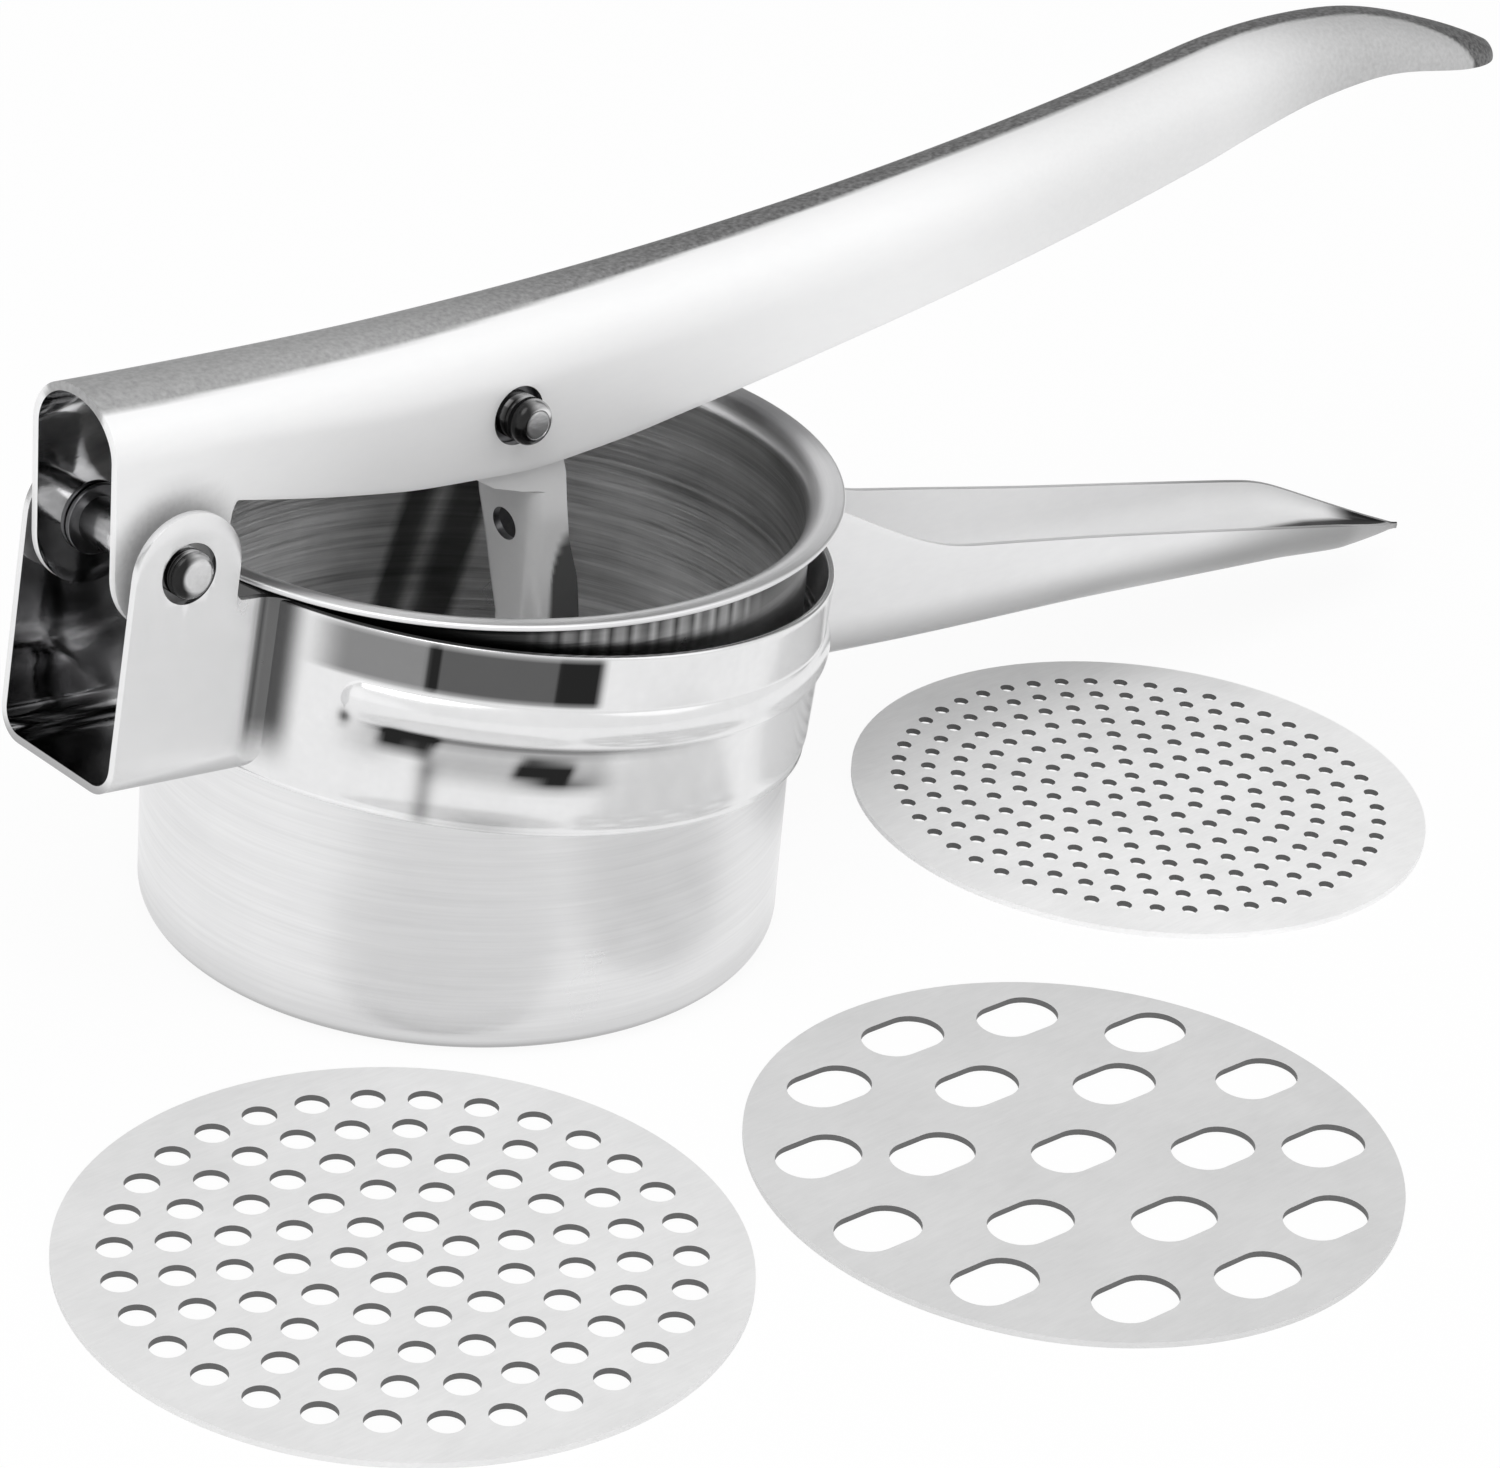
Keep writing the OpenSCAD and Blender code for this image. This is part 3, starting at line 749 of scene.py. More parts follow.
@dataclass
class Cup:
    """The flared cup, open below, with the ledge that carries a disc."""

    radius: float = 42.0
    wall: float = 0.8
    height: float = 61.5
    lip_bend: float = 2.6
    lip_radius: float = 46.0
    foot_bend: float = 3.0
    outlet: float = 37.5
    steps: int = 320
    edge_points: int = 14
    wall_rows: int = 24

    def profile(self) -> tuple[Array, Array]:
        """Section of the sheet: outside from the outlet up to the lip, then back inside.

        Returns:
            The outer and the inner stretch, as radius and height, every bend an arc.
        """
        r, t, h = self.radius, self.wall, self.height
        half = t / 2
        lip_z, rows = h - t - self.lip_bend, self.wall_rows
        outside = chain(
            arc((self.outlet + half, half), half, 180.0, 270.0, 6),
            arc((r - self.foot_bend, self.foot_bend), self.foot_bend, 270.0, 360.0, 14),
            np.stack([np.full(rows, r), np.linspace(self.foot_bend + 1, lip_z - 0.5, rows)], -1),
            arc((r + self.lip_bend, lip_z), self.lip_bend, 180.0, 90.0, 16),
            arc((self.lip_radius - half, h - half), half, 270.0, 450.0, 12))
        inside = chain(
            arc((r + self.lip_bend, lip_z), self.lip_bend + t, 90.0, 180.0, 16),
            np.stack([np.full(rows, r - t),
                      np.linspace(lip_z - 0.5, self.foot_bend + 1, rows)], -1),
            arc((r - self.foot_bend, self.foot_bend), self.foot_bend - t, 360.0, 270.0, 12),
            arc((self.outlet + half, half), half, 90.0, 170.0, 6))
        return outside, inside

    def wall_painted_shade(self, points: Array) -> Array:
        """Painted shade of the cup's outside: painted shade round the foot's bend and a painted
        shadow under the lip.

        The hollow under the lip has fine upright brushing ticks, drawn as painted glints that
        lighten its painted shadow over one stretch of turn.

        Args:
            points: Array (n, 3) in millimetres.

        Returns:
            Shade at each point.
        """
        turn = np.degrees(np.arctan2(points[:, 1], points[:, 0]))
        far, z = np.hypot(points[:, 0], points[:, 1]), points[:, 2]
        # painted shade round the foot's bend
        foot = 0.22 * ramp(z, 9.0, 0.0) + 0.50 * ramp(z, 2.4, 0.4)
        bend_far = self.radius + self.lip_bend - far
        bend_z = np.maximum(z - (self.height - self.wall - self.lip_bend), 0.0)
        below = smooth((self.lip_bend + 0.35 - np.hypot(bend_far, bend_z)) / 0.2)
        # brushing ticks, drawn as painted glints over one stretch of turn
        ticks = (0.5 + 0.5 * np.sin(turn * 97.0)) * window(turn, -118.0, -78.0, 14.0)
        # painted shadow in the hollow under the lip
        lip = ramp(z, 53.0, 56.0) * below * smooth((self.lip_radius - 0.9 - far) / 0.5)
        return 1.0 - foot - lip * (1.0 - 0.42 * ticks)

    def inside_painted_reflection(self, points: Array) -> Array:
        """Painted shade of the cup's inside: a painted dark slanted reflection of the plunger's
        bracket, with a painted light streak in it.

        Args:
            points: Array (n, 3) in millimetres.

        Returns:
            Shade at each point.
        """
        turn = np.degrees(np.arctan2(points[:, 1], points[:, 0]))
        slant = turn - 50.5 - 0.34 * (52.0 - points[:, 2])
        # painted dark reflection of the bracket
        image = window(slant, -7.5, 8.5, 2.0) * ramp(points[:, 2], 6.0, 16.0)
        # painted light streak in that reflection
        streak = 0.75 * spot((slant - 1.5) / 1.6)
        return 1.0 - 0.85 * image * (1.0 - streak)

    def build(self) -> Thing:
        """Builds the cup and puts it in the place of its solids.

        The second finish starts edge_points past the outer stretch, inside the rolled lip.

        Returns:
            The cup.
        """
        outside, inside = self.profile()
        profile = chain(outside, inside)
        cup = grid_object("cup_shell", revolve(profile, self.steps), wrap_u=True, wrap_v=True)
        cup.data.materials.append(CUP_SATIN.material("cup_satin"))
        cup.data.materials.append(CUP_INSIDE.material("cup_inside"))
        within = (np.arange(len(profile)) >= len(outside) + self.edge_points).astype(np.int32)
        cup.data.polygons.foreach_set("material_index", np.tile(within, self.steps))
        painted_shading(cup, self.wall_painted_shade, self.inside_painted_reflection)
        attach(cup, "cup")
        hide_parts("cup", "cup_foot")
        return cup


# ---------------------------------------------------------------- frame


@dataclass(frozen=True)
class PaintedReflection:
    """A soft painted dark reflection on the band, by turn in degrees and height in millimetres.

    A leaning of 1 carries it up with the lean of the band's reflections, and -1 against it.
    """

    strength: float
    turn: float
    wide: float
    height: float
    tall: float
    leaning: float = 0.0


@dataclass(frozen=True)
class PaintedReflectionBar:
    """A painted dark upright reflection on the band, between two turns in degrees."""

    strength: float
    start: float
    stop: float
    soft: float


@dataclass
class Frame:
    """The stamped frame: band, hinge channel and trough handle."""

    inner: float = 43.9065
    sheet: float = 1.0
    height: float = 23.9
    bead_out: float = 0.9
    bead_half: float = 2.6
    bead_z: float = 14.2
    bead_span: float = 148.0
    half_width: float = 11.5
    channel_corner: float = 4.0
    ear: float = 7.6
    notch: float = 1.2
    fillet: float = 3.0
    handle_end: float = 194.0
    handle_drop: float = 1.8
    handle_corner: float = 6.5
    point_length: float = 28.0
    point_slope: float = 0.43
    waist: float = 1.2
    pin_hole: float = 3.9
    edge: float = 0.28
    band_steps: int = 720
    bead_reach: float = 3.0
    bead_rows: int = 31
    plain_rows: int = 12
    lower_tuck: float = 0.45
    tuck_height: float = 2.6
    rim_inset: float = 0.2
    sink: float = 0.35
    wall_rows: int = 15
    corner_rows: int = 11
    floor_rows: int = 17
    bend_stations: int = 10
    ear_stations: int = 41
    tip_stations: int = 34
    tip_crowding: float = 1.6
    arm_stations: int = 76
    waist_start: float = 70.0
    waist_stop: float = 120.0
    plan_round: float = 1.6
    root_lift: float = 1.2
    root_run: float = 12.0
    corner_share: float = 0.62
    handle_knots: Knots = (
        (47.0, 23.9), (50.0, 23.0), (54.0, 21.5), (58.0, 19.9), (63.0, 17.9), (68.0, 16.0),
        (73.0, 14.4), (78.0, 13.3), (91.0, 12.0), (142.0, 6.6), (165.0, 4.1), (170.0, 3.35),
        (173.0, 2.6), (182.0, 0.0), (188.0, -1.65), (194.0, -3.1))
    droop_knots: Knots = ((168.0, 0.0), (173.0, 0.05), (179.0, 0.6), (185.0, 1.2),
                          (191.0, 1.75), (194.0, 2.1))
    # painted dark reflections in the band: upright bars, patches below the bead, round spots
    bars: tuple[PaintedReflectionBar, ...] = (PaintedReflectionBar(0.17, 111.0, 138.0, 1.6), PaintedReflectionBar(0.16, 112.0, 118.6, 1.0),
                             PaintedReflectionBar(0.25, 137.0, 138.8, 0.9))
    patches: tuple[PaintedReflection, ...] = (PaintedReflection(0.9, 140.2, 4.4, 9.9, 1.5, 1.0),
                                 PaintedReflection(0.9, 118.6, 4.4, 9.3, 1.5, 1.0))
    marks: tuple[PaintedReflection, ...] = (
        PaintedReflection(0.50, 115.0, 6.0, 6.3, 0.9, -1.0), PaintedReflection(0.35, 127.0, 7.0, 1.2, 1.4),
        PaintedReflection(0.30, 146.0, 4.5, 9.6, 2.2), PaintedReflection(0.85, 150.4, 1.0, 11.9, 0.9))

    @property
    def outer(self) -> float:
        """Outer radius of the band."""
        return self.inner + self.sheet

    def bead_height(self, angle: Array, z: Array) -> Array:
        """How far the bead stands out at a place on the band.

        The bead is a round-ended strip: its height follows a circle's segment over the
        distance to the strip's middle line.

        Args:
            angle: Angle from +X in radians.
            z: Height over the band's lower edge.

        Returns:
            Height of the bead in millimetres.
        """
        past = np.maximum(np.abs(angle) - math.radians(self.bead_span), 0.0) * self.outer
        away = np.hypot(past, z - self.bead_z)
        ball = (self.bead_half ** 2 + self.bead_out ** 2) / (2 * self.bead_out)
        rise = np.sqrt(np.maximum(ball ** 2 - away ** 2, 0.0)) - (ball - self.bead_out)
        return np.maximum(rise, 0.0)

    def band(self) -> Thing:
        """The band: a closed sheet section carried round the cup, with the bead pressed out.

        Returns:
            The band's mesh in the part's coordinates.
        """
        turn = np.linspace(-np.pi, np.pi, self.band_steps, endpoint=False)[:, None]
        half = self.sheet / 2
        low_side, high_side = self.bead_z - self.bead_reach, self.bead_z + self.bead_reach
        rows = np.concatenate([np.linspace(half, low_side - 0.2, self.plain_rows),
                               np.linspace(low_side, high_side, self.bead_rows),
                               np.linspace(high_side + 0.2, self.height - half, self.plain_rows)])
        mid = self.inner + half
        top = arc((mid, self.height - half), half, 0.0, 180.0, 9)[1:-1]
        low = arc((mid, half), half, 180.0, 360.0, 9)[1:-1]
        bump = self.bead_height(turn, rows[None, :])
        tuck = self.lower_tuck * ramp(rows, self.tuck_height, 0.0)
        outer_r = self.outer + bump - tuck
        inner_r = self.inner + bump
        grow = np.zeros_like(turn)
        radius = np.concatenate([outer_r, top[None, :, 0] + grow, inner_r[:, ::-1],
                                 low[None, :, 0] + grow - self.rim_inset], axis=1)
        z = np.concatenate([rows, top[:, 1], rows[::-1], low[:, 1]])[None, :] + grow
        points = np.stack([radius * np.cos(turn), radius * np.sin(turn), z], -1)
        return grid_object("band_sheet", PLACES.from_frame(points), wrap_u=True, wrap_v=True)

    def _wall_plan(self, side: float) -> tuple[Array, Array]:
        """Plan of a side wall near the band: straight, then a bend that meets the band.

        The bend's centre lies one bend radius outside both the wall and the band.

        Args:
            side: -1 towards the hinge, 1 towards the handle.

        Returns:
            X and outward distance from the middle plane, from the straight end to the band.
        """
        y_c = self.half_width + self.fillet
        x_c = math.sqrt((self.outer + self.fillet) ** 2 - y_c ** 2)
        stop = math.degrees(math.atan2(-y_c, -x_c))
        bend = arc((x_c, y_c), self.fillet, 270.0, 360.0 + stop, self.bend_stations)
        return side * bend[:, 0], bend[:, 1]

    def _trough(self, name: str, side: float, xs: Array, width: Array, top: Array, floor: Array,
                corner: Array, outside: Material, inside: Material) -> Thing:
        """A U-shaped sheet along X whose end near the band spreads to meet it.

        A section runs down the near wall, round a corner, across the floor and up again. Near
        the band the walls and the upper part of the corners follow the bend's plan, while the
        floor runs straight on to the band.

        Args:
            name: Name of the object.
            side: -1 towards the hinge, 1 towards the handle.
            xs: Stations along X, from the free end to where the bend starts.
            width: Outer half width at each station.
            top: Height of the walls' top edge at each station.
            floor: Height of the floor's underside at each station.
            corner: Outer corner radius at each station.
            outside: Finish of the outer side.
            inside: Finish of the inner side.

        Returns:
            The sheet, with its wall.
        """
        bend_x, bend_y = self._wall_plan(side)
        n_bend = len(bend_x)
        steps = np.linspace(0.0, 1.0, n_bend + 1)[1:]
        last = xs[-1]
        wall_x = np.concatenate([xs, bend_x])
        wall_y = np.concatenate([width, bend_y])
        blend = np.concatenate([np.zeros(len(xs)), steps])
        straight_y, top, floor, corner = (
            np.concatenate([line, np.full(n_bend, line[-1])])
            for line in (width, top, floor, corner))
        up = np.linspace(0.0, 1.0, self.wall_rows)[None, :]
        bow = np.radians(np.linspace(0.0, 90.0, self.corner_rows))[None, 1:]
        flat = np.linspace(-1.0, 1.0, self.floor_rows)[None, 1:-1]
        w, r = straight_y[:, None], corner[:, None]
        base, edge = floor[:, None], top[:, None]
        wall_z = edge + (base + r - edge) * up
        half_y = np.concatenate([-w + 0.0 * up, -w + r * (1.0 - np.cos(bow))], 1)
        half_z = np.concatenate([wall_z, base + r * (1.0 - np.sin(bow))], 1)
        y = np.concatenate([half_y, flat * (w - r), -half_y[:, ::-1]], 1)
        z = np.concatenate([half_z, base + 0.0 * flat, half_z[:, ::-1]], 1)
        rise = smooth((z - base - 0.1 * r) / (0.9 * r))
        y = y + np.sign(y) * rise * (wall_y - straight_y)[:, None]
        end_x = side * (np.sqrt(self.outer ** 2 - np.minimum(np.abs(y), self.outer * 0.9) ** 2)
                        - self.sink)
        floor_x = last + (end_x - last) * blend[:, None]
        tuck = side * -self.sink * blend[:, None]
        x = np.where(blend[:, None] > 0.0,
                     floor_x * (1.0 - rise) + (wall_x[:, None] + tuck) * rise, wall_x[:, None])
        points = PLACES.from_frame(np.stack([x, y, z], -1))
        return shell(name, points, self.sheet, outside, inside, flip=side < 0)

    def channel(self) -> Thing:
        """The hinge channel with its two round ears.

        The wall's top edge is the ear's circle, a drop with a small concave round, then the
        band's own top edge.

        Returns:
            The channel, drilled for the pin.
        """
        px, pz = PLACES.pivot_local
        swing = np.cos(np.linspace(np.pi, 0.0, self.ear_stations))
        ear_x = px + self.ear * swing
        ear_top = pz + self.ear * np.sqrt(np.maximum(1.0 - swing ** 2, 0.0))
        round_part = arc((px + self.ear + self.notch, self.height + self.notch), self.notch,
                         180.0, 270.0, 8)
        end = self._wall_plan(-1.0)[0][0]
        rest = np.linspace(round_part[-1, 0] + 0.3, end - 0.05, 4)
        xs = np.concatenate([ear_x, round_part[:, 0] + 0.02, rest])
        top = np.concatenate([ear_top, round_part[:, 1], np.full_like(rest, self.height)])
        n = len(xs)
        sheet = self._trough("channel_sheet", -1.0, xs, np.full(n, self.half_width), top,
                             np.zeros(n), np.full(n, self.channel_corner),
                             CHANNEL_MIRROR.material("channel_mirror"),
                             INSIDE_MIRROR.material("channel_inside"))
        drill(sheet, PLACES.pivot, self.pin_hole)
        return sheet

    def droop(self, x: Array) -> Array:
        """How far the handle's floor bends down towards the tip, in millimetres."""
        return knotted(x, self.droop_knots)

    def handle(self) -> Thing:
        """The trough handle with its low pointed end.

        The plan's half width is the lesser of the trough's own and a straight slant from the
        tip, with the corner between them rounded off. The top edge follows its knots, which
        sweep down from the band and run nearly straight to the tip, eased by a short average.
        The floor is lifted a little at the band and droops at the tip.

        Returns:
            The handle.
        """
        start = self._wall_plan(1.0)[0][0] + 0.05
        square_end = self.handle_end - self.point_length
        crowded = np.linspace(0.0, 1.0, self.tip_stations) ** self.tip_crowding
        xs = np.concatenate([self.handle_end - self.point_length * crowded,
                             np.linspace(square_end, start, self.arm_stations)[1:]])
        xs[0] = self.handle_end - 0.05
        slant = self.point_slope * (self.handle_end - xs)
        wide = self.half_width - self.waist * ramp(xs, self.waist_start, self.waist_stop)
        width = 0.5 * (wide + slant - np.sqrt((wide - slant) ** 2 + self.plan_round))
        width = np.maximum(width + 0.05, 0.25)
        lift = self.root_lift * ramp(xs, start + self.root_run, start)
        low = lift - self.handle_drop - self.droop(xs)
        top = knotted(xs, self.handle_knots)
        kernel = np.ones(5) / 5.0
        ease = np.convolve(np.pad(top, 2, mode="edge"), kernel, mode="valid")
        top = np.where(xs > start + 4.0, ease, top)
        corner = np.minimum(self.handle_corner, np.maximum(width * self.corner_share, 0.15))
        corner = np.minimum(corner, np.maximum(top - low - 0.4, 0.1))
        return self._trough("handle_sheet", 1.0, xs, width, top, low, corner,
                            HANDLE_SHEET.material("handle_outside"),
                            HANDLE_INSIDE.material("handle_inside"))

    def band_painted_reflections(self, points: Array) -> Array:
        """Painted reflections in the band: painted dark images of what its mirror picks up from
        the cup and the lever over it.

        The plain strip between the top edge and the bead is painted dark over a stretch on each
        side, with darker painted bars in it. Small painted dark patches sit below the bead: they
        fall off with the sixth power across and the fourth power down. Marks are soft round
        painted spots.

        Args:
            points: Array (n, 3) in millimetres.

        Returns:
            Painted shade at each point, 1 where the steel is left bright.
        """
        local = PLACES.to_frame(points)
        turn = np.degrees(np.arctan2(np.abs(local[:, 1]), local[:, 0]))
        z = local[:, 2]
        upper = window(z, 17.3, 23.5, 0.8)
        # painted dark reflection in the plain strip under the top edge
        dark = 0.72 * upper * ramp(turn, 160.0, 151.0) * ramp(turn, 110.5, 112.5)
        for bar in self.bars:
            dark += bar.strength * upper * window(turn, bar.start, bar.stop, bar.soft)
        # painted shade line under the bead
        under_bead = window(z, 11.0, 11.9, 0.9) * ramp(turn, 149.0, 143.0)
        dark += 0.62 * under_bead * ramp(turn, 84.0, 118.0)
        drop = 0.05 * (turn - 130.0)
        for patch in self.patches:
            across = (turn - patch.turn) / patch.wide
            down = (z - patch.height - patch.leaning * drop) / patch.tall
            dark += patch.strength * np.exp(-(np.abs(across + 0.18 * down) ** 6
                                              + np.abs(down) ** 4))
        for mark in self.marks:
            down = (z - mark.height - mark.leaning * drop) / mark.tall
            dark += mark.strength * spot((turn - mark.turn) / mark.wide, down)
        # painted dark smears below the bead, and painted shade where the band meets the channel
        dark += 0.42 * window(z, 6.6, 11.0, 3.6) * window(turn, 108.0, 137.0, 6.0)
        dark += 0.50 * window(z, 0.4, 8.6, 3.2) * spot((turn - 136.6) / 1.5)
        dark += 0.90 * ramp(turn, 157.5, 162.5) * ramp(z, 1.0, 9.0)
        return 1.0 - dark

    def bend_painted_shade(self, points: Array) -> Array:
        """Painted shade of the channel: its hollow bends into the band carry painted dark upright
        stripes, and its lower walls are painted darker near the band.

        Args:
            points: Array (n, 3) in millimetres.

        Returns:
            Shade at each point.
        """
        local = PLACES.to_frame(points)
        along, z = -local[:, 0], local[:, 2]
        wall = ramp(np.abs(local[:, 1]), 10.6, 11.1)
        fade = ramp(z, 1.5, 8.5)
        dark = 0.86 * ramp(along, 46.6, 44.0) + 0.3 * window(along, 44.6, 45.4, 0.6)
        lower = 0.55 * ramp(z, 3.4, 0.4) * ramp(along, 40.0, 44.0)
        return 1.0 - wall * fade * dark - lower

    def handle_painted_shade(self, points: Array) -> Array:
        """Painted shade of the handle's outside: the belly is painted darker towards its underside
        and the tip, a painted reflection of the shaded floor below it.

        Args:
            points: Array (n, 3) in millimetres.

        Returns:
            Shade at each point.
        """
        local = PLACES.to_frame(points)
        x, z = local[:, 0], local[:, 2]
        belly = smooth((5.8 + 0.014 * x - z) / 6.0) * ramp(x, 36.0, 50.0)
        tip = 0.34 * ramp(x, 90.0, 150.0)
        end = 0.66 * ramp(x, 130.0, 170.0) * (1.0 - belly)
        return 1.0 - (0.44 + tip) * belly - end

    def hollow_painted_shade(self, points: Array) -> Array:
        """Painted shade of the handle's inside: light, with a painted shadow line near the tip and
        a little painted shade towards it.

        Args:
            points: Array (n, 3) in millimetres.

        Returns:
            Shade at each point.
        """
        local = PLACES.to_frame(points)
        x, y, z = local[:, 0], local[:, 1], local[:, 2]
        low = -self.handle_drop - self.droop(x)
        line = window(x, 158.0, 190.0, 6.0) * ramp(y, 3.6, 1.4) * smooth(low + 3.0 - z)
        line = np.maximum(line, ramp(x, 180.0, 186.0))
        return 1.0 - 0.92 * line - 0.12 * ramp(x, 90.0, 150.0)

    def build(self) -> list[Thing]:
        """Builds the three stretches of the frame and puts them in their solids' places.

        Returns:
            The band, the channel and the handle.
        """
        band = self.band()
        band.data.materials.append(BAND_MIRROR.material("band_mirror"))
        made = [band, self.channel(), self.handle()]
        for sheet, node, rule, lining in zip(
                made, ("frame_band", "hinge_channel", "lower_handle"),
                (self.band_painted_reflections, self.bend_painted_shade, self.handle_painted_shade),
                (None, None, self.hollow_painted_shade)):
            if sheet is not band:
                soften(sheet, self.edge)
            painted_shading(sheet, rule, lining)
            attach(sheet, "frame")
            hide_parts(node)
        return made


# ---------------------------------------------------------------- lever


@dataclass
class Lever:
    """The arched sheet lever, from its hinge lobes to its blunt tip."""

    half_width: float = 8.4
    sheet: float = 1.1
    length: float = 248.0
    lobe: float = 8.4
    rise: float = 19.6
    low_x: float = 48.0
    sag: float = 850.0
    crest: float = 116.0
    crest_length: float = 66.0
    nose: float = 24.0
    tip_droop: float = 0.7
    droop_start: float = 214.0
    droop_stop: float = 236.0
    edge_across: float = 8.1
    edge_down: float = 9.0
    edge_down_hinge: float = 7.2
    hinge_hole: float = 3.08
    press_hole: float = 3.9
    edge: float = 0.3
    lobe_end: float = 6.4
    wall_full: float = 9.3
    wall_start: float = 8.9
    neck_end: float = 11.0
    lobe_stations: int = 30
    neck_stations: int = 12
    arm_stations: int = 150
    nose_stations: int = 40
    nose_power: float = 2.3
    ease_width: int = 61
    flat_rows: int = 3
    bow_rows: int = 25
    wall_rows: int = 12
    edge_grows: float = 5.0
    edge_full: float = 40.0
    depth_knots: Knots = (
        (8.9, 14.4), (22.0, 16.8), (36.0, 19.0), (56.0, 20.7), (72.0, 20.0), (79.4, 19.3),
        (109.0, 17.1), (139.0, 15.3), (158.7, 14.05), (178.6, 12.65), (189.0, 11.4),
        (198.4, 9.85), (213.3, 7.7), (228.2, 6.2), (240.0, 5.0), (248.0, 3.9))
    strip_knots: Knots = ((0.0, 5.3), (40.0, 4.2), (85.0, 2.2), (130.0, 0.9), (190.0, 0.7),
                          (214.0, 2.0), (224.0, 3.4), (232.0, 5.2), (237.0, 7.6), (240.0, 11.5))

    def spine(self, x: Array) -> Array:
        """Height of the spine over the hinge pin: a long sagging arc, a crest arc, a low tip.

        Args:
            x: Distance from the hinge pin.

        Returns:
            Height in millimetres.
        """
        start = math.asin((self.length - self.crest_length - self.low_x) / self.sag)
        join_x = self.low_x + self.sag * math.sin(start)
        join_z = self.rise + self.sag * (1.0 - math.cos(start))
        top_x = join_x + self.crest * math.sin(start)
        top_z = join_z - self.crest * math.cos(start)
        sagging = self.rise + self.sag - np.sqrt(self.sag ** 2 - (x - self.low_x) ** 2)
        cresting = top_z + np.sqrt(np.maximum(self.crest ** 2 - (x - top_x) ** 2, 0.0))
        droop = self.tip_droop * ramp(x, self.droop_start, self.droop_stop)
        return np.where(x < join_x, sagging, cresting) - droop

    def depth(self, x: Array) -> Array:
        """Depth of the walls below the spine: lines between the knots, eased by a Hann average.

        Args:
            x: Distance from the hinge pin.

        Returns:
            Depth in millimetres.
        """
        fine = np.linspace(self.wall_start, self.length, 1200)
        line = knotted(fine, self.depth_knots)
        kernel = np.hanning(self.ease_width)
        line = np.convolve(np.pad(line, len(kernel) // 2, mode="reflect", reflect_type="odd"),
                           kernel / kernel.sum(), mode="valid")
        return np.interp(x, fine, line)

    def sheet_points(self) -> Array:
        """Outer surface of the lever on a grid of stations and section points.

        A section is a narrow flat top, a quarter ellipse at each long edge and a straight wall
        down to the lower edge. Near the hinge the lower edge is the lobe's circle. Over the
        nose the half width falls as the root of one less a power of the way to the tip.

        Returns:
            Array (stations, section points, 3) around the hinge pin.
        """
        swing = np.cos(np.linspace(np.pi, 0.12 * np.pi, self.lobe_stations))
        lobe_x = self.lobe * swing
        neck = np.linspace(lobe_x[-1], self.neck_end, self.neck_stations)[1:]
        quarter = np.linspace(0.0, 0.5 * np.pi, self.nose_stations)
        nose = self.length - self.nose * (1.0 - np.sin(quarter))
        arm = np.linspace(self.neck_end, nose[0], self.arm_stations)[1:-1]
        xs = np.concatenate([lobe_x, neck, arm, nose])
        top = self.spine(xs)
        lobe_low = -np.sqrt(np.maximum(self.lobe ** 2 - np.minimum(xs, self.lobe) ** 2, 0.0))
        wall_low = top - self.depth(np.maximum(xs, self.wall_start))
        step = ramp(xs, self.lobe_end, self.wall_full)
        low = np.where(xs < self.lobe_end, lobe_low, lobe_low * (1.0 - step) + wall_low * step)
        past = np.maximum(xs - (self.length - self.nose), 0.0) / self.nose
        narrow = np.sqrt(np.maximum(1.0 - past ** self.nose_power, 0.0))
        width = np.maximum(self.half_width * narrow, 0.2)
        deep = (top - low) * np.clip(0.25 + 0.75 * width / self.half_width, 0.0, 1.0)
        r_side = np.minimum(self.edge_across, width)
        grown = ramp(xs, self.edge_grows, self.edge_full)
        fall_off = self.edge_down_hinge + (self.edge_down - self.edge_down_hinge) * grown
        r_down = np.minimum(fall_off, deep * 0.98)
        flat = np.linspace(0.0, 1.0, self.flat_rows)
        bow = np.radians(np.linspace(0.0, 90.0, self.bow_rows))[1:]
        fall = np.linspace(0.0, 1.0, self.wall_rows)[1:]
        inner = (width - r_side)[:, None]
        top_y = inner * flat[None, :]
        top_z = 0.0 * top_y
        bow_y = inner + r_side[:, None] * np.sin(bow)[None, :]
        bow_z = -r_down[:, None] * (1.0 - np.cos(bow))[None, :]
        wall_y = width[:, None] + 0.0 * fall[None, :]
        wall_z = -r_down[:, None] - (deep - r_down)[:, None] * fall[None, :]
        half_y = np.concatenate([top_y, bow_y, wall_y], 1)
        half_z = np.concatenate([top_z, bow_z, wall_z], 1)
        y = np.concatenate([-half_y[:, ::-1], half_y[:, 1:]], 1)
        z = np.concatenate([half_z[:, ::-1], half_z[:, 1:]], 1) + top[:, None]
        return np.stack([xs[:, None] + 0.0 * y, y, z], -1)

    def crown_painted_shade(self, points: Array) -> Array:
        """Painted shade of the lever: the strip along its crown is a painted dark reflection,
        darker than its walls; the finish also flecks and dulls it.

        The strip is wide at the hinge, narrow along the middle and takes in the whole tip. It is
        painted darker from the hinge to the tip, and so are the walls, past the middle, as painted
        shade. A soft painted shade lies round the hinge pin.

        Args:
            points: Array (n, 3) in millimetres.

        Returns:
            Shade at each point.
        """
        x = points[:, 0] - PLACES.pivot[0]
        z = points[:, 2] - PLACES.pivot[2]
        near = knotted(x, self.strip_knots)
        below = self.spine(np.clip(x, -self.lobe, self.length)) - z
        # painted dark reflection along the crown
        strip = window(points[:, 1], -near, 5.8, 0.7) * ramp(below, 6.0, 5.0)
        deep = 0.66 + 0.26 * ramp(x, 25.0, 95.0) + 0.06 * ramp(x, 205.0, 240.0)
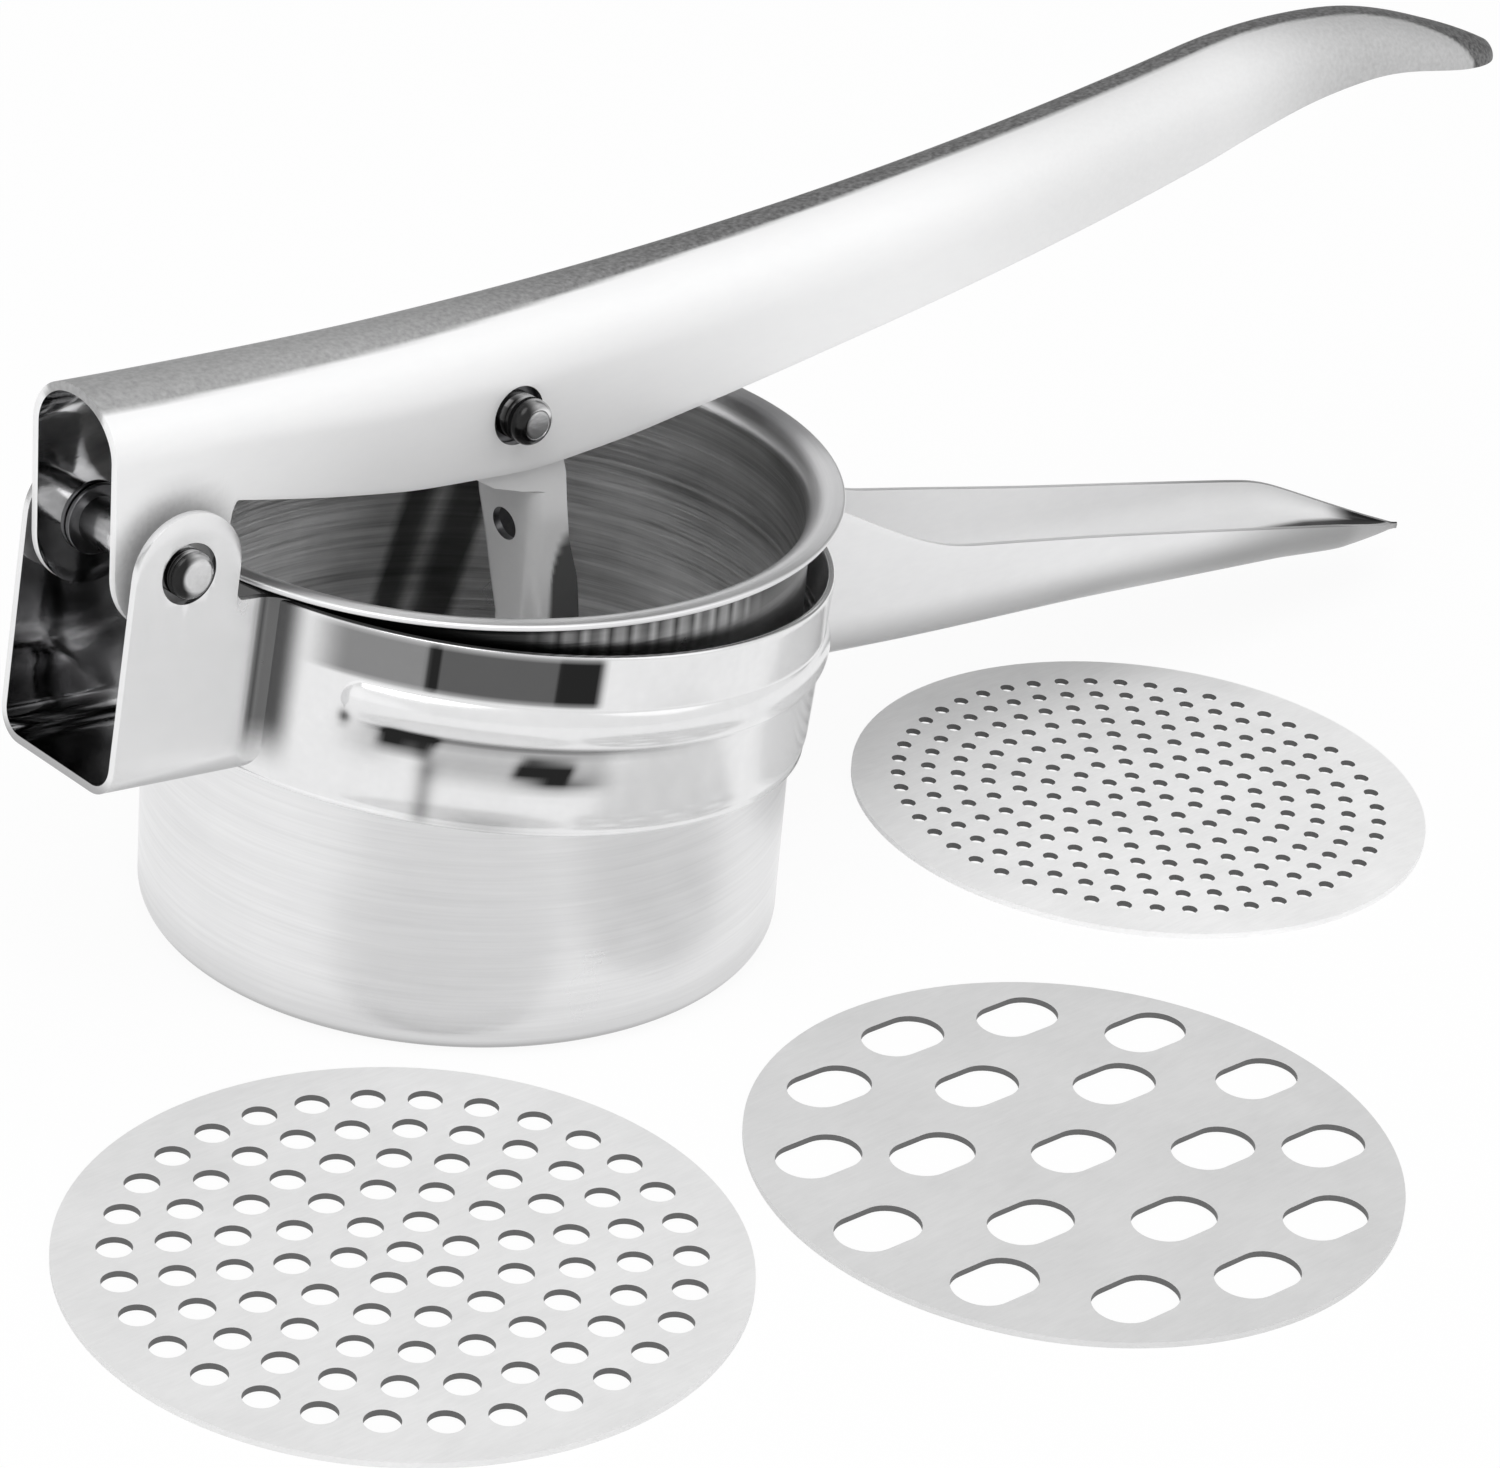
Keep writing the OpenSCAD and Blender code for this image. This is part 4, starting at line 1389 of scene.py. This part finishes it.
        # painted shade round the hinge pin
        boss_shade = 0.42 * ramp(np.hypot(x, z), 11.5, 6.5) * ramp(np.abs(points[:, 1]), 7.0, 8.0)
        # painted shade on the walls, growing towards the tip
        grip = 1.0 - 0.14 * ramp(x, 115.0, 165.0)
        grip = grip * (1.0 - 0.42 * ramp(x, 180.0, 212.0))
        return (1.0 - strip * deep) * grip - boss_shade

    def build(self) -> Thing:
        """Builds the lever, drills its pin holes and puts it in its solids' place.

        Returns:
            The lever.
        """
        points = self.sheet_points() + np.asarray(PLACES.pivot)
        lever = shell("lever_sheet", points, self.sheet, LEVER_SHEET.material("lever_polish"),
                      INSIDE_MIRROR.material("lever_inside"))
        drill(lever, PLACES.pivot, self.hinge_hole)
        drill(lever, PLACES.press, self.press_hole)
        soften(lever, self.edge)
        painted_shading(lever, self.crown_painted_shade)
        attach(lever, "lever")
        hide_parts("lever", "lever_grip")
        return lever


# ---------------------------------------------------------------- pins


@dataclass
class Pins:
    """Both pins and their retaining rings."""

    radius: float = 3.0
    hinge_half: float = 12.7
    hinge_groove: float = 11.6
    hinge_dome: float = 0.8
    plunger_half: float = 12.0
    plunger_groove: float = 9.4
    plunger_dome: float = 1.3
    ring_radius: float = 4.5
    ring_sheet: float = 0.7
    ring_edge: float = 0.15
    ring_face: float = 7.15
    groove_half: float = 0.34
    groove_deep: float = 0.4
    pin_steps: int = 96
    ring_steps: int = 72

    def pin(self, name: str, centre: Point, half: float, groove: float, dome: float) -> Thing:
        """A pin with rounded ends and a groove near each of them.

        The outline of one half is mirrored, then carried round an axis along Y.

        Args:
            name: Name of the object.
            centre: A point on the pin's axis.
            half: Half length.
            groove: Distance of the grooves from the middle.
            dome: Radius of the rounded end edge.

        Returns:
            The pin, closed on its axis.
        """
        r = self.radius
        low, half_cut = r - self.groove_deep, self.groove_half
        cut = [(r, 0.0), (r, groove - half_cut - 0.11), (r - 0.12, groove - half_cut - 0.04),
               (low, groove - half_cut), (low, groove + half_cut),
               (r - 0.12, groove + half_cut + 0.04), (r, groove + half_cut + 0.11)]
        ending = arc((r - dome, half - dome), dome, 0.0, 84.0, 12)
        crown = [(r * 0.66, half - 0.02), (r * 0.6, half - 0.01), (r * 0.45, half), (0.0, half)]
        half_side = chain(cut, ending, crown)
        whole = np.concatenate([half_side[::-1] * [1.0, -1.0], half_side[1:]])
        turned = revolve(whole[::-1], self.pin_steps, 1, centre)
        return join([grid_object(name, turned, wrap_u=True)], name, 0.002)

    def head_painted_shadow(self, points: Array, centre: Point, half: float) -> Array:
        """Painted shadow on a pin's head: its rounded edge is painted dark, most of all towards
        the hinge end.

        Args:
            points: Array (n, 3) in millimetres.
            centre: A point on the pin's axis.
            half: Half length of the pin.

        Returns:
            Shade at each point.
        """
        x, z = points[:, 0] - centre[0], points[:, 2] - centre[2]
        edge = smooth((np.hypot(x - 0.5, z) - 0.62 * self.radius) / 0.5)
        side = 0.45 + 0.55 * ramp(x, 0.6, -1.4)
        return 1.0 - edge * side * smooth((np.abs(points[:, 1]) - half + 3.5) / 0.3)

    def rings(self, name: str, centre: Point) -> Thing:
        """A pair of flat retaining rings with rounded edges.

        Args:
            name: Name of the object.
            centre: A point on the rings' axis.

        Returns:
            Both rings as one piece.
        """
        e, half = self.ring_edge, self.ring_sheet / 2
        corners = chain(arc((self.ring_radius - e, -half + e), e, 270.0, 360.0, 5),
                        arc((self.ring_radius - e, half - e), e, 0.0, 90.0, 5),
                        [(self.radius, half), (self.radius, -half)])
        made = []
        for side in (-1.0, 1.0):
            middle = side * (self.ring_face - half)
            points = revolve(corners + [0.0, middle], self.ring_steps, 1, centre)
            made.append(grid_object(name + "_one", points, wrap_u=True, wrap_v=True, flip=True))
        both = join(made, name, 0.001)
        both.data.set_sharp_from_angle(angle=math.radians(SHARP_ANGLE))
        return both

    def build(self) -> list[Thing]:
        """Builds the pins and rings and puts them in their solids' places.

        Returns:
            The four pieces.
        """
        steel = PIN_STEEL.material("pin_steel")
        made = [
            (self.pin("hinge_pin_turned", PLACES.pivot, self.hinge_half, self.hinge_groove,
                      self.hinge_dome), "hinge_pin", "frame"),
            (self.rings("hinge_ring_pair", PLACES.pivot), "hinge_rings", "frame"),
            (self.pin("plunger_pin_turned", PLACES.press, self.plunger_half, self.plunger_groove,
                      self.plunger_dome), "plunger_pin", "lever"),
            (self.rings("plunger_ring_pair", PLACES.press), "plunger_rings", "lever")]
        dull = RING_STEEL_AND_PAINTED_SHADE.material("ring_steel")
        for thing, node, body in made:
            thing.data.materials.append(dull if "rings" in node else steel)
            place = PLACES.pivot if body == "frame" else PLACES.press
            half = self.hinge_half if body == "frame" else self.plunger_half
            # painted shadow on each head
            painted_shading(thing, lambda points: self.head_painted_shadow(points, place, half))
            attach(thing, body)
            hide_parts(node)
        return [thing for thing, _, _ in made]


# ---------------------------------------------------------------- plunger


@dataclass
class Plunger:
    """The folded bracket and the press plate that hang from the plunger pin."""

    plate_z: float = 2.4
    plate_radius: float = 36.0
    plate_sheet: float = 1.2
    plate_rim: float = 3.0
    plate_bend: float = 2.0
    plate_steps: int = 200
    web_half: float = 4.2
    ear_half: float = 6.3
    sheet: float = 1.1
    bend: float = 2.2
    web_hole: float = 2.25
    foot_length: float = 14.0
    tab: float = 6.0
    tab_bend: float = 1.2
    heel: float = 4.0
    ear: float = 7.2
    web_drop: float = 13.0
    flare_drop: float = 34.0
    flare: float = 17.0
    hole_drop: float = 19.5
    pin_hole: float = 3.08
    edge: float = 0.25
    back_knots: Knots = ((37.0, 7.9), (34.0, 8.05), (31.0, 7.7), (13.0, 5.2), (11.8, 2.8),
                         (10.4, -1.4), (8.6, -4.4), (5.0, -6.4), (0.0, -7.2))
    front_knots: Knots = ((34.0, 16.3), (27.0, 14.6), (21.0, 12.3), (16.5, 11.05),
                          (13.5, 10.7), (11.0, 10.4), (6.0, 9.0), (0.0, 7.2))

    def _edge(self, z: Array, side: float) -> Array:
        """X of the bracket's edge: a line through knots, and the ear's circle over the pin.

        Args:
            z: Height in millimetres.
            side: -1 for the back edge, along the web, and 1 for the front edge.

        Returns:
            X at each height.
        """
        px, _, pz = PLACES.press
        knots = np.array(self.back_knots if side < 0.0 else self.front_knots)
        heel = self.heel + (0.0 if side < 0.0 else self.foot_length)
        heights = np.append(self.plate_z + self.plate_sheet, pz - knots[:, 0])
        line = np.interp(z, heights, np.append(heel, px + knots[:, 1]))
        high = np.clip((z - pz) / self.ear, 0.0, 1.0)
        round_x = px + side * self.ear * np.sqrt(np.maximum(1.0 - high ** 2, 0.0))
        return np.where(z > pz, round_x, line)

    def bracket(self) -> Thing:
        """The bracket: two side walls that start as tabs on the plate, joined by a web.

        A wall's rows follow a path from the tab's end round the bend and up to the ear's top;
        its columns run from the back edge to the front edge. The web's rows share the wall's
        heights, and its columns run round two small bends.

        Returns:
            The bracket as a sheet with its wall.
        """
        pz = PLACES.press[2]
        base = self.plate_z + self.plate_sheet
        w, bend_r = self.web_half, self.tab_bend
        web_top = pz - self.web_drop
        tab_y = np.linspace(w + self.tab, w + bend_r, 5)
        bend_up = arc((w + bend_r, base + self.sheet + bend_r), bend_r, 270.0, 180.0, 7)
        low_z = np.linspace(base + self.sheet + bend_r, web_top, 42)[1:]
        high = np.linspace(0.0, 0.5 * np.pi, 26)
        ear_z = pz + (self.ear - 0.01) * np.sin(high)[1:]
        high_z = np.concatenate([np.linspace(web_top, pz, 26)[1:], ear_z])
        z = np.concatenate([np.full(5, base + self.sheet), bend_up[1:, 1], low_z, high_z])
        out = np.concatenate([tab_y, bend_up[1:, 0], np.full(len(low_z) + len(high_z), w)])
        spread = np.clip((z - (pz - self.flare_drop)) / self.flare, 0.0, 1.0)
        spread = spread + 0.06 * np.sin(2.0 * np.pi * spread)
        out = out + (self.ear_half - w) * spread * (out <= w + 1e-6)
        across = np.linspace(0.0, 1.0, 18)
        start = self._edge(z, -1.0) + self.bend * (1 - smooth((z - web_top) / 1.2))
        stop = self._edge(z, 1.0)
        x = start[:, None] + (stop - start)[:, None] * across[None, :]
        y = -out[:, None] + 0.0 * x
        near = np.stack([x, y, z[:, None] + 0.0 * x], -1)
        far = near * [1.0, -1.0, 1.0]
        first = len(tab_y) + len(bend_up) - 2
        rows = slice(first, len(tab_y) + len(bend_up) - 1 + len(low_z))
        z_web = z[rows]
        back = self._edge(z_web, -1.0)
        wide = out[rows]
        turn = np.radians(np.linspace(0.0, 90.0, 7))
        b = self.bend
        near_x = b - b * np.sin(turn)
        near_y = b * (1.0 - np.cos(turn))
        mid = np.linspace(-1.0, 1.0, 9)[1:-1]
        web_x = back[:, None] + np.concatenate([near_x, 0.0 * mid, near_x[::-1]])[None, :]
        side_y = -wide[:, None] + near_y[None, :]
        mid_y = (wide - b)[:, None] * mid[None, :]
        web_y = np.concatenate([side_y, mid_y, -side_y[:, ::-1]], 1)
        web = np.stack([web_x, web_y, z_web[:, None] + 0.0 * web_x], -1)
        return join([grid_object("near", near, flip=True), grid_object("far", far),
                     grid_object("web", web)], "plunger_bracket_sheet", 0.02)

    def flange_painted_reflection(self, points: Array) -> Array:
        """Painted shade of the bracket: its side walls are painted dark below the flare, past the
        web's bend, a painted reflection of the cup's dark inside.

        Args:
            points: Array (n, 3) in millimetres.

        Returns:
            Shade at each point.
        """
        x, y, z = points[:, 0], np.abs(points[:, 1]), points[:, 2]
        past = x - self._edge(z, -1.0) - self.bend
        limit = PLACES.press[2] - 18.0 - 14.0 * np.exp(-np.maximum(past, 0.0) / 1.2)
        side = smooth((y - self.web_half + 0.9) / 0.3)
        return 1.0 - 0.93 * side * ramp(past, 0.3, 1.3) * smooth((limit - z) / 3.0)

    def plate(self) -> Thing:
        """The press plate: a flat plate with a turned-up edge, turned from a closed profile.

        Returns:
            The plate.
        """
        r, t, z = self.plate_radius, self.plate_sheet, self.plate_z
        top, bend = z + self.plate_rim, self.plate_bend
        flat = np.linspace(0.0, r - bend, 24)
        profile = chain(
            np.stack([flat, np.full_like(flat, z)], -1),
            arc((r - bend, z + bend), bend, 275.0, 360.0, 10),
            arc((r - t / 2, top - t / 2), t / 2, 0.0, 180.0, 10),
            arc((r - bend, z + bend), bend - t, 360.0, 270.0, 8),
            np.stack([flat[::-1], np.full_like(flat, z + t)], -1))
        turned = grid_object("plate_part", revolve(profile, self.plate_steps), wrap_u=True)
        return join([turned], "press_plate_sheet", 0.002)

    def build(self) -> list[Thing]:
        """Builds the bracket and the plate and puts them in their solids' places.

        Returns:
            The bracket and the plate.
        """
        bracket = self.bracket()
        # the bracket's steel, lightened as painted light
        bracket.data.materials.append(BRACKET_STEEL_PAINTED_LIGHT.material("bracket_steel_painted_light"))
        # painted shade: the bracket's inner side and hole walls take the rings' dark steel
        bracket.data.materials.append(RING_STEEL_AND_PAINTED_SHADE.material("bracket_inside_painted_shade"))
        thicken(bracket, self.sheet)
        drill(bracket, PLACES.press, self.pin_hole)
        px, _, pz = PLACES.press
        drill(bracket, (px, 0.0, pz - self.hole_drop), self.web_hole, along=0)
        soften(bracket, self.edge)
        painted_shading(bracket, self.flange_painted_reflection)
        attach(bracket, "plunger")
        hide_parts("plunger_bracket")
        plate = self.plate()
        plate.data.materials.append(PRESS_SATIN.material("plate_satin"))
        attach(plate, "plunger")
        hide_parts("press_plate")
        return [bracket, plate]


# ---------------------------------------------------------------- discs


@dataclass
class Discs:
    """The three loose ricing discs, which keep their solids."""

    # each disc's grey; the fine disc's is raised as painted light against the handle's shade
    greys_and_painted_light: tuple[tuple[str, float], ...] = (("disc_fine", 0.97), ("disc_medium", 0.82),
                                             ("disc_coarse", 0.72))
    rim: float = 0.9
    grain_share: float = 0.86
    hole_painted_shade: Point = (0.12, 0.12, 0.12)
    wall_normal: float = 0.6

    def dress(self) -> None:
        """Gives each disc its satin sheet finish.

        Hole walls are painted darker than the faces, as painted shade in the holes, and the outer
        edge is as light as the faces. A wall is told by its level normal, and the outer edge by
        its distance from the middle.
        """
        for node, shade in self.greys_and_painted_light:
            low, high = (np.array(corner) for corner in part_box(node))
            middle, reach = (low + high) / 2.0, (high - low)[0] / 2.0 - self.rim * MM
            finish = replace(DISC_SHEET, light=(shade,) * 3, dark=(shade * self.grain_share,) * 3)
            steel = finish.material(node + "_satin")
            nodes = Nodes(steel.node_tree)
            shader = steel.node_tree.nodes["Principled BSDF"]
            base = shader.inputs["Base Color"].links[0].from_socket
            normal = nodes.add("SeparateXYZ", {0: nodes.add("NewGeometry").outputs["True Normal"]})
            wall = nodes.math("LESS_THAN", nodes.math("ABSOLUTE", normal.outputs[2]),
                              self.wall_normal)
            away = nodes.add("VectorMath", {0: nodes.add("TexCoord").outputs["Object"],
                                            1: tuple(middle)}, operation="SUBTRACT")
            x, y, _ = nodes.add("SeparateXYZ", {0: away.outputs[0]}).outputs
            within = nodes.math("LESS_THAN", nodes.far(x, y), float(reach))
            hole = nodes.math("MULTIPLY", wall, within)
            # painted shade on the hole walls
            nodes.feed(shader.inputs["Base Color"], nodes.mix(hole, base, self.hole_painted_shade))
            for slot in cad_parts[node].material_slots:
                slot.material = steel


# ---------------------------------------------------------------- studio


@dataclass
class Studio:
    """Floor, world, lamps and camera."""

    eye: Point = (-0.35015, -0.40202, 0.29820)
    azimuth: float = 45.0
    elevation: float = 27.0
    roll: float = 5.31
    lens: float = 110.51
    sensor: float = 36.0
    front_light: float = 0.92
    top_light: float = 1.0
    side_light: float = 1.1
    dim_light: float = 0.24
    floor_side: float = 8000.0
    floor_grey: float = 0.9
    floor_glow: float = 0.93

    def camera(self) -> None:
        """Sets the camera from its place, two angles and a roll about its own axis."""
        az, el, roll = (math.radians(v) for v in (self.azimuth, self.elevation, self.roll))
        ahead = Vector((math.sin(az) * math.cos(el), math.cos(az) * math.cos(el), -math.sin(el)))
        right = ahead.cross(Vector((0.0, 0.0, 1.0))).normalized()
        up = right.cross(ahead)
        c, s = math.cos(roll), math.sin(roll)
        turned, raised = c * right + s * up, -s * right + c * up
        data = bpy.data.cameras.new("camera")
        data.lens = self.lens
        data.sensor_width = self.sensor
        data.sensor_fit = "HORIZONTAL"
        data.clip_start = 0.01
        data.clip_end = 50.0
        made = put("camera", data)
        turn = Matrix((turned, raised, -ahead)).transposed().to_4x4()
        made.matrix_world = Matrix.Translation(self.eye) @ turn
        bpy.context.scene.camera = made

    def world(self) -> None:
        """A studio of soft light: a bright front and top, a dim back and a paler hinge side.

        The light in a direction is the dim level, raised to the front's level where the
        direction points to -Y, to the top's where it points up, and to the side's at -X.
        """
        world = bpy.data.worlds.new("studio")
        bpy.context.scene.world = world
        world.use_nodes = True
        tree = world.node_tree
        tree.nodes.clear()
        nodes = Nodes(tree)
        split = nodes.add("SeparateXYZ", {0: nodes.add("TexCoord").outputs["Generated"]})
        light: Socket | float = self.dim_light
        for part, start, stop, level in ((1, 0.08, -0.22, self.front_light),
                                         (2, 0.62, 0.86, self.top_light),
                                         (0, -0.55, -0.90, self.side_light)):
            value = nodes.ease(split.outputs[part], start, stop, self.dim_light, level)
            light = nodes.math("MAXIMUM", value, light)
        merged = nodes.add("CombineColor", {0: light, 1: light, 2: light})
        soft = nodes.add("Background", {"Color": merged.outputs[0]})
        nodes.add("OutputWorld", {"Surface": soft.outputs[0]})

    def floor(self) -> None:
        """A wide pale floor that keeps the object's soft shadow."""
        line = np.linspace(-self.floor_side, self.floor_side, 3)
        x, y = np.meshgrid(line, line, indexing="ij")
        made = grid_object("floor", np.stack([x, y, np.zeros_like(x)], -1))
        pale = bpy.data.materials.new("floor_pale")
        pale.use_nodes = True
        nodes = Nodes(pale.node_tree)
        shader = pale.node_tree.nodes["Principled BSDF"]
        shader.inputs["Base Color"].default_value = (*(self.floor_grey,) * 3, 1.0)
        shader.inputs["Roughness"].default_value = 0.9
        shader.inputs["Specular IOR Level"].default_value = 0.0
        glow = nodes.add("Emission", {"Color": (1.0, 1.0, 1.0, 1.0)})
        path = nodes.add("LightPath").outputs
        seen = nodes.math("MAXIMUM", path["Is Transmission Ray"],
                          nodes.math("MAXIMUM", path["Is Camera Ray"], path["Is Glossy Ray"]))
        mix = nodes.add("MixShader", {0: nodes.math("MULTIPLY", seen, self.floor_glow),
                                      1: shader.outputs[0], 2: glow.outputs[0]})
        nodes.feed(pale.node_tree.nodes["Material Output"].inputs["Surface"], mix.outputs[0])
        made.data.materials.append(pale)

    def lamps(self) -> None:
        """Two large soft lamps, over the left shoulder and in front on the right."""
        for name, place, size, power in (("key", (-0.5, -0.3, 0.95), 0.7, 3.2),
                                         ("fill", (0.55, -0.75, 0.8), 0.8, 0.5)):
            data = bpy.data.lights.new(name, "AREA")
            data.shape = "DISK"
            data.size = size
            data.energy = power
            lamp = put(name, data)
            lamp.location = place
            lamp.rotation_euler = (-Vector(place)).to_track_quat("-Z", "Y").to_euler()

    def build(self) -> None:
        """Sets up everything around the object."""
        self.camera()
        self.world()
        self.floor()
        self.lamps()
        bpy.context.scene.view_settings.view_transform = "Standard"


# ---------------------------------------------------------------- run


def main() -> None:
    """Builds every sub-assembly in turn."""
    logging.basicConfig(level=logging.INFO, format="%(name)s: %(message)s")
    Studio().build()
    brushed_group()
    smudge_group()
    steps: list[tuple[str, Callable[[], object]]] = [
        ("cup", Cup().build), ("frame", Frame().build), ("lever", Lever().build),
        ("pins", Pins().build), ("plunger", Plunger().build), ("discs", Discs().dress)]
    for title, step in steps:
        made = step()
        things = made if isinstance(made, list) else [made] if made is not None else []
        for thing in things:
            LOG.info("%s: %s with %d faces", title, thing.name, len(thing.data.polygons))


if __name__ == "__main__":
    main()
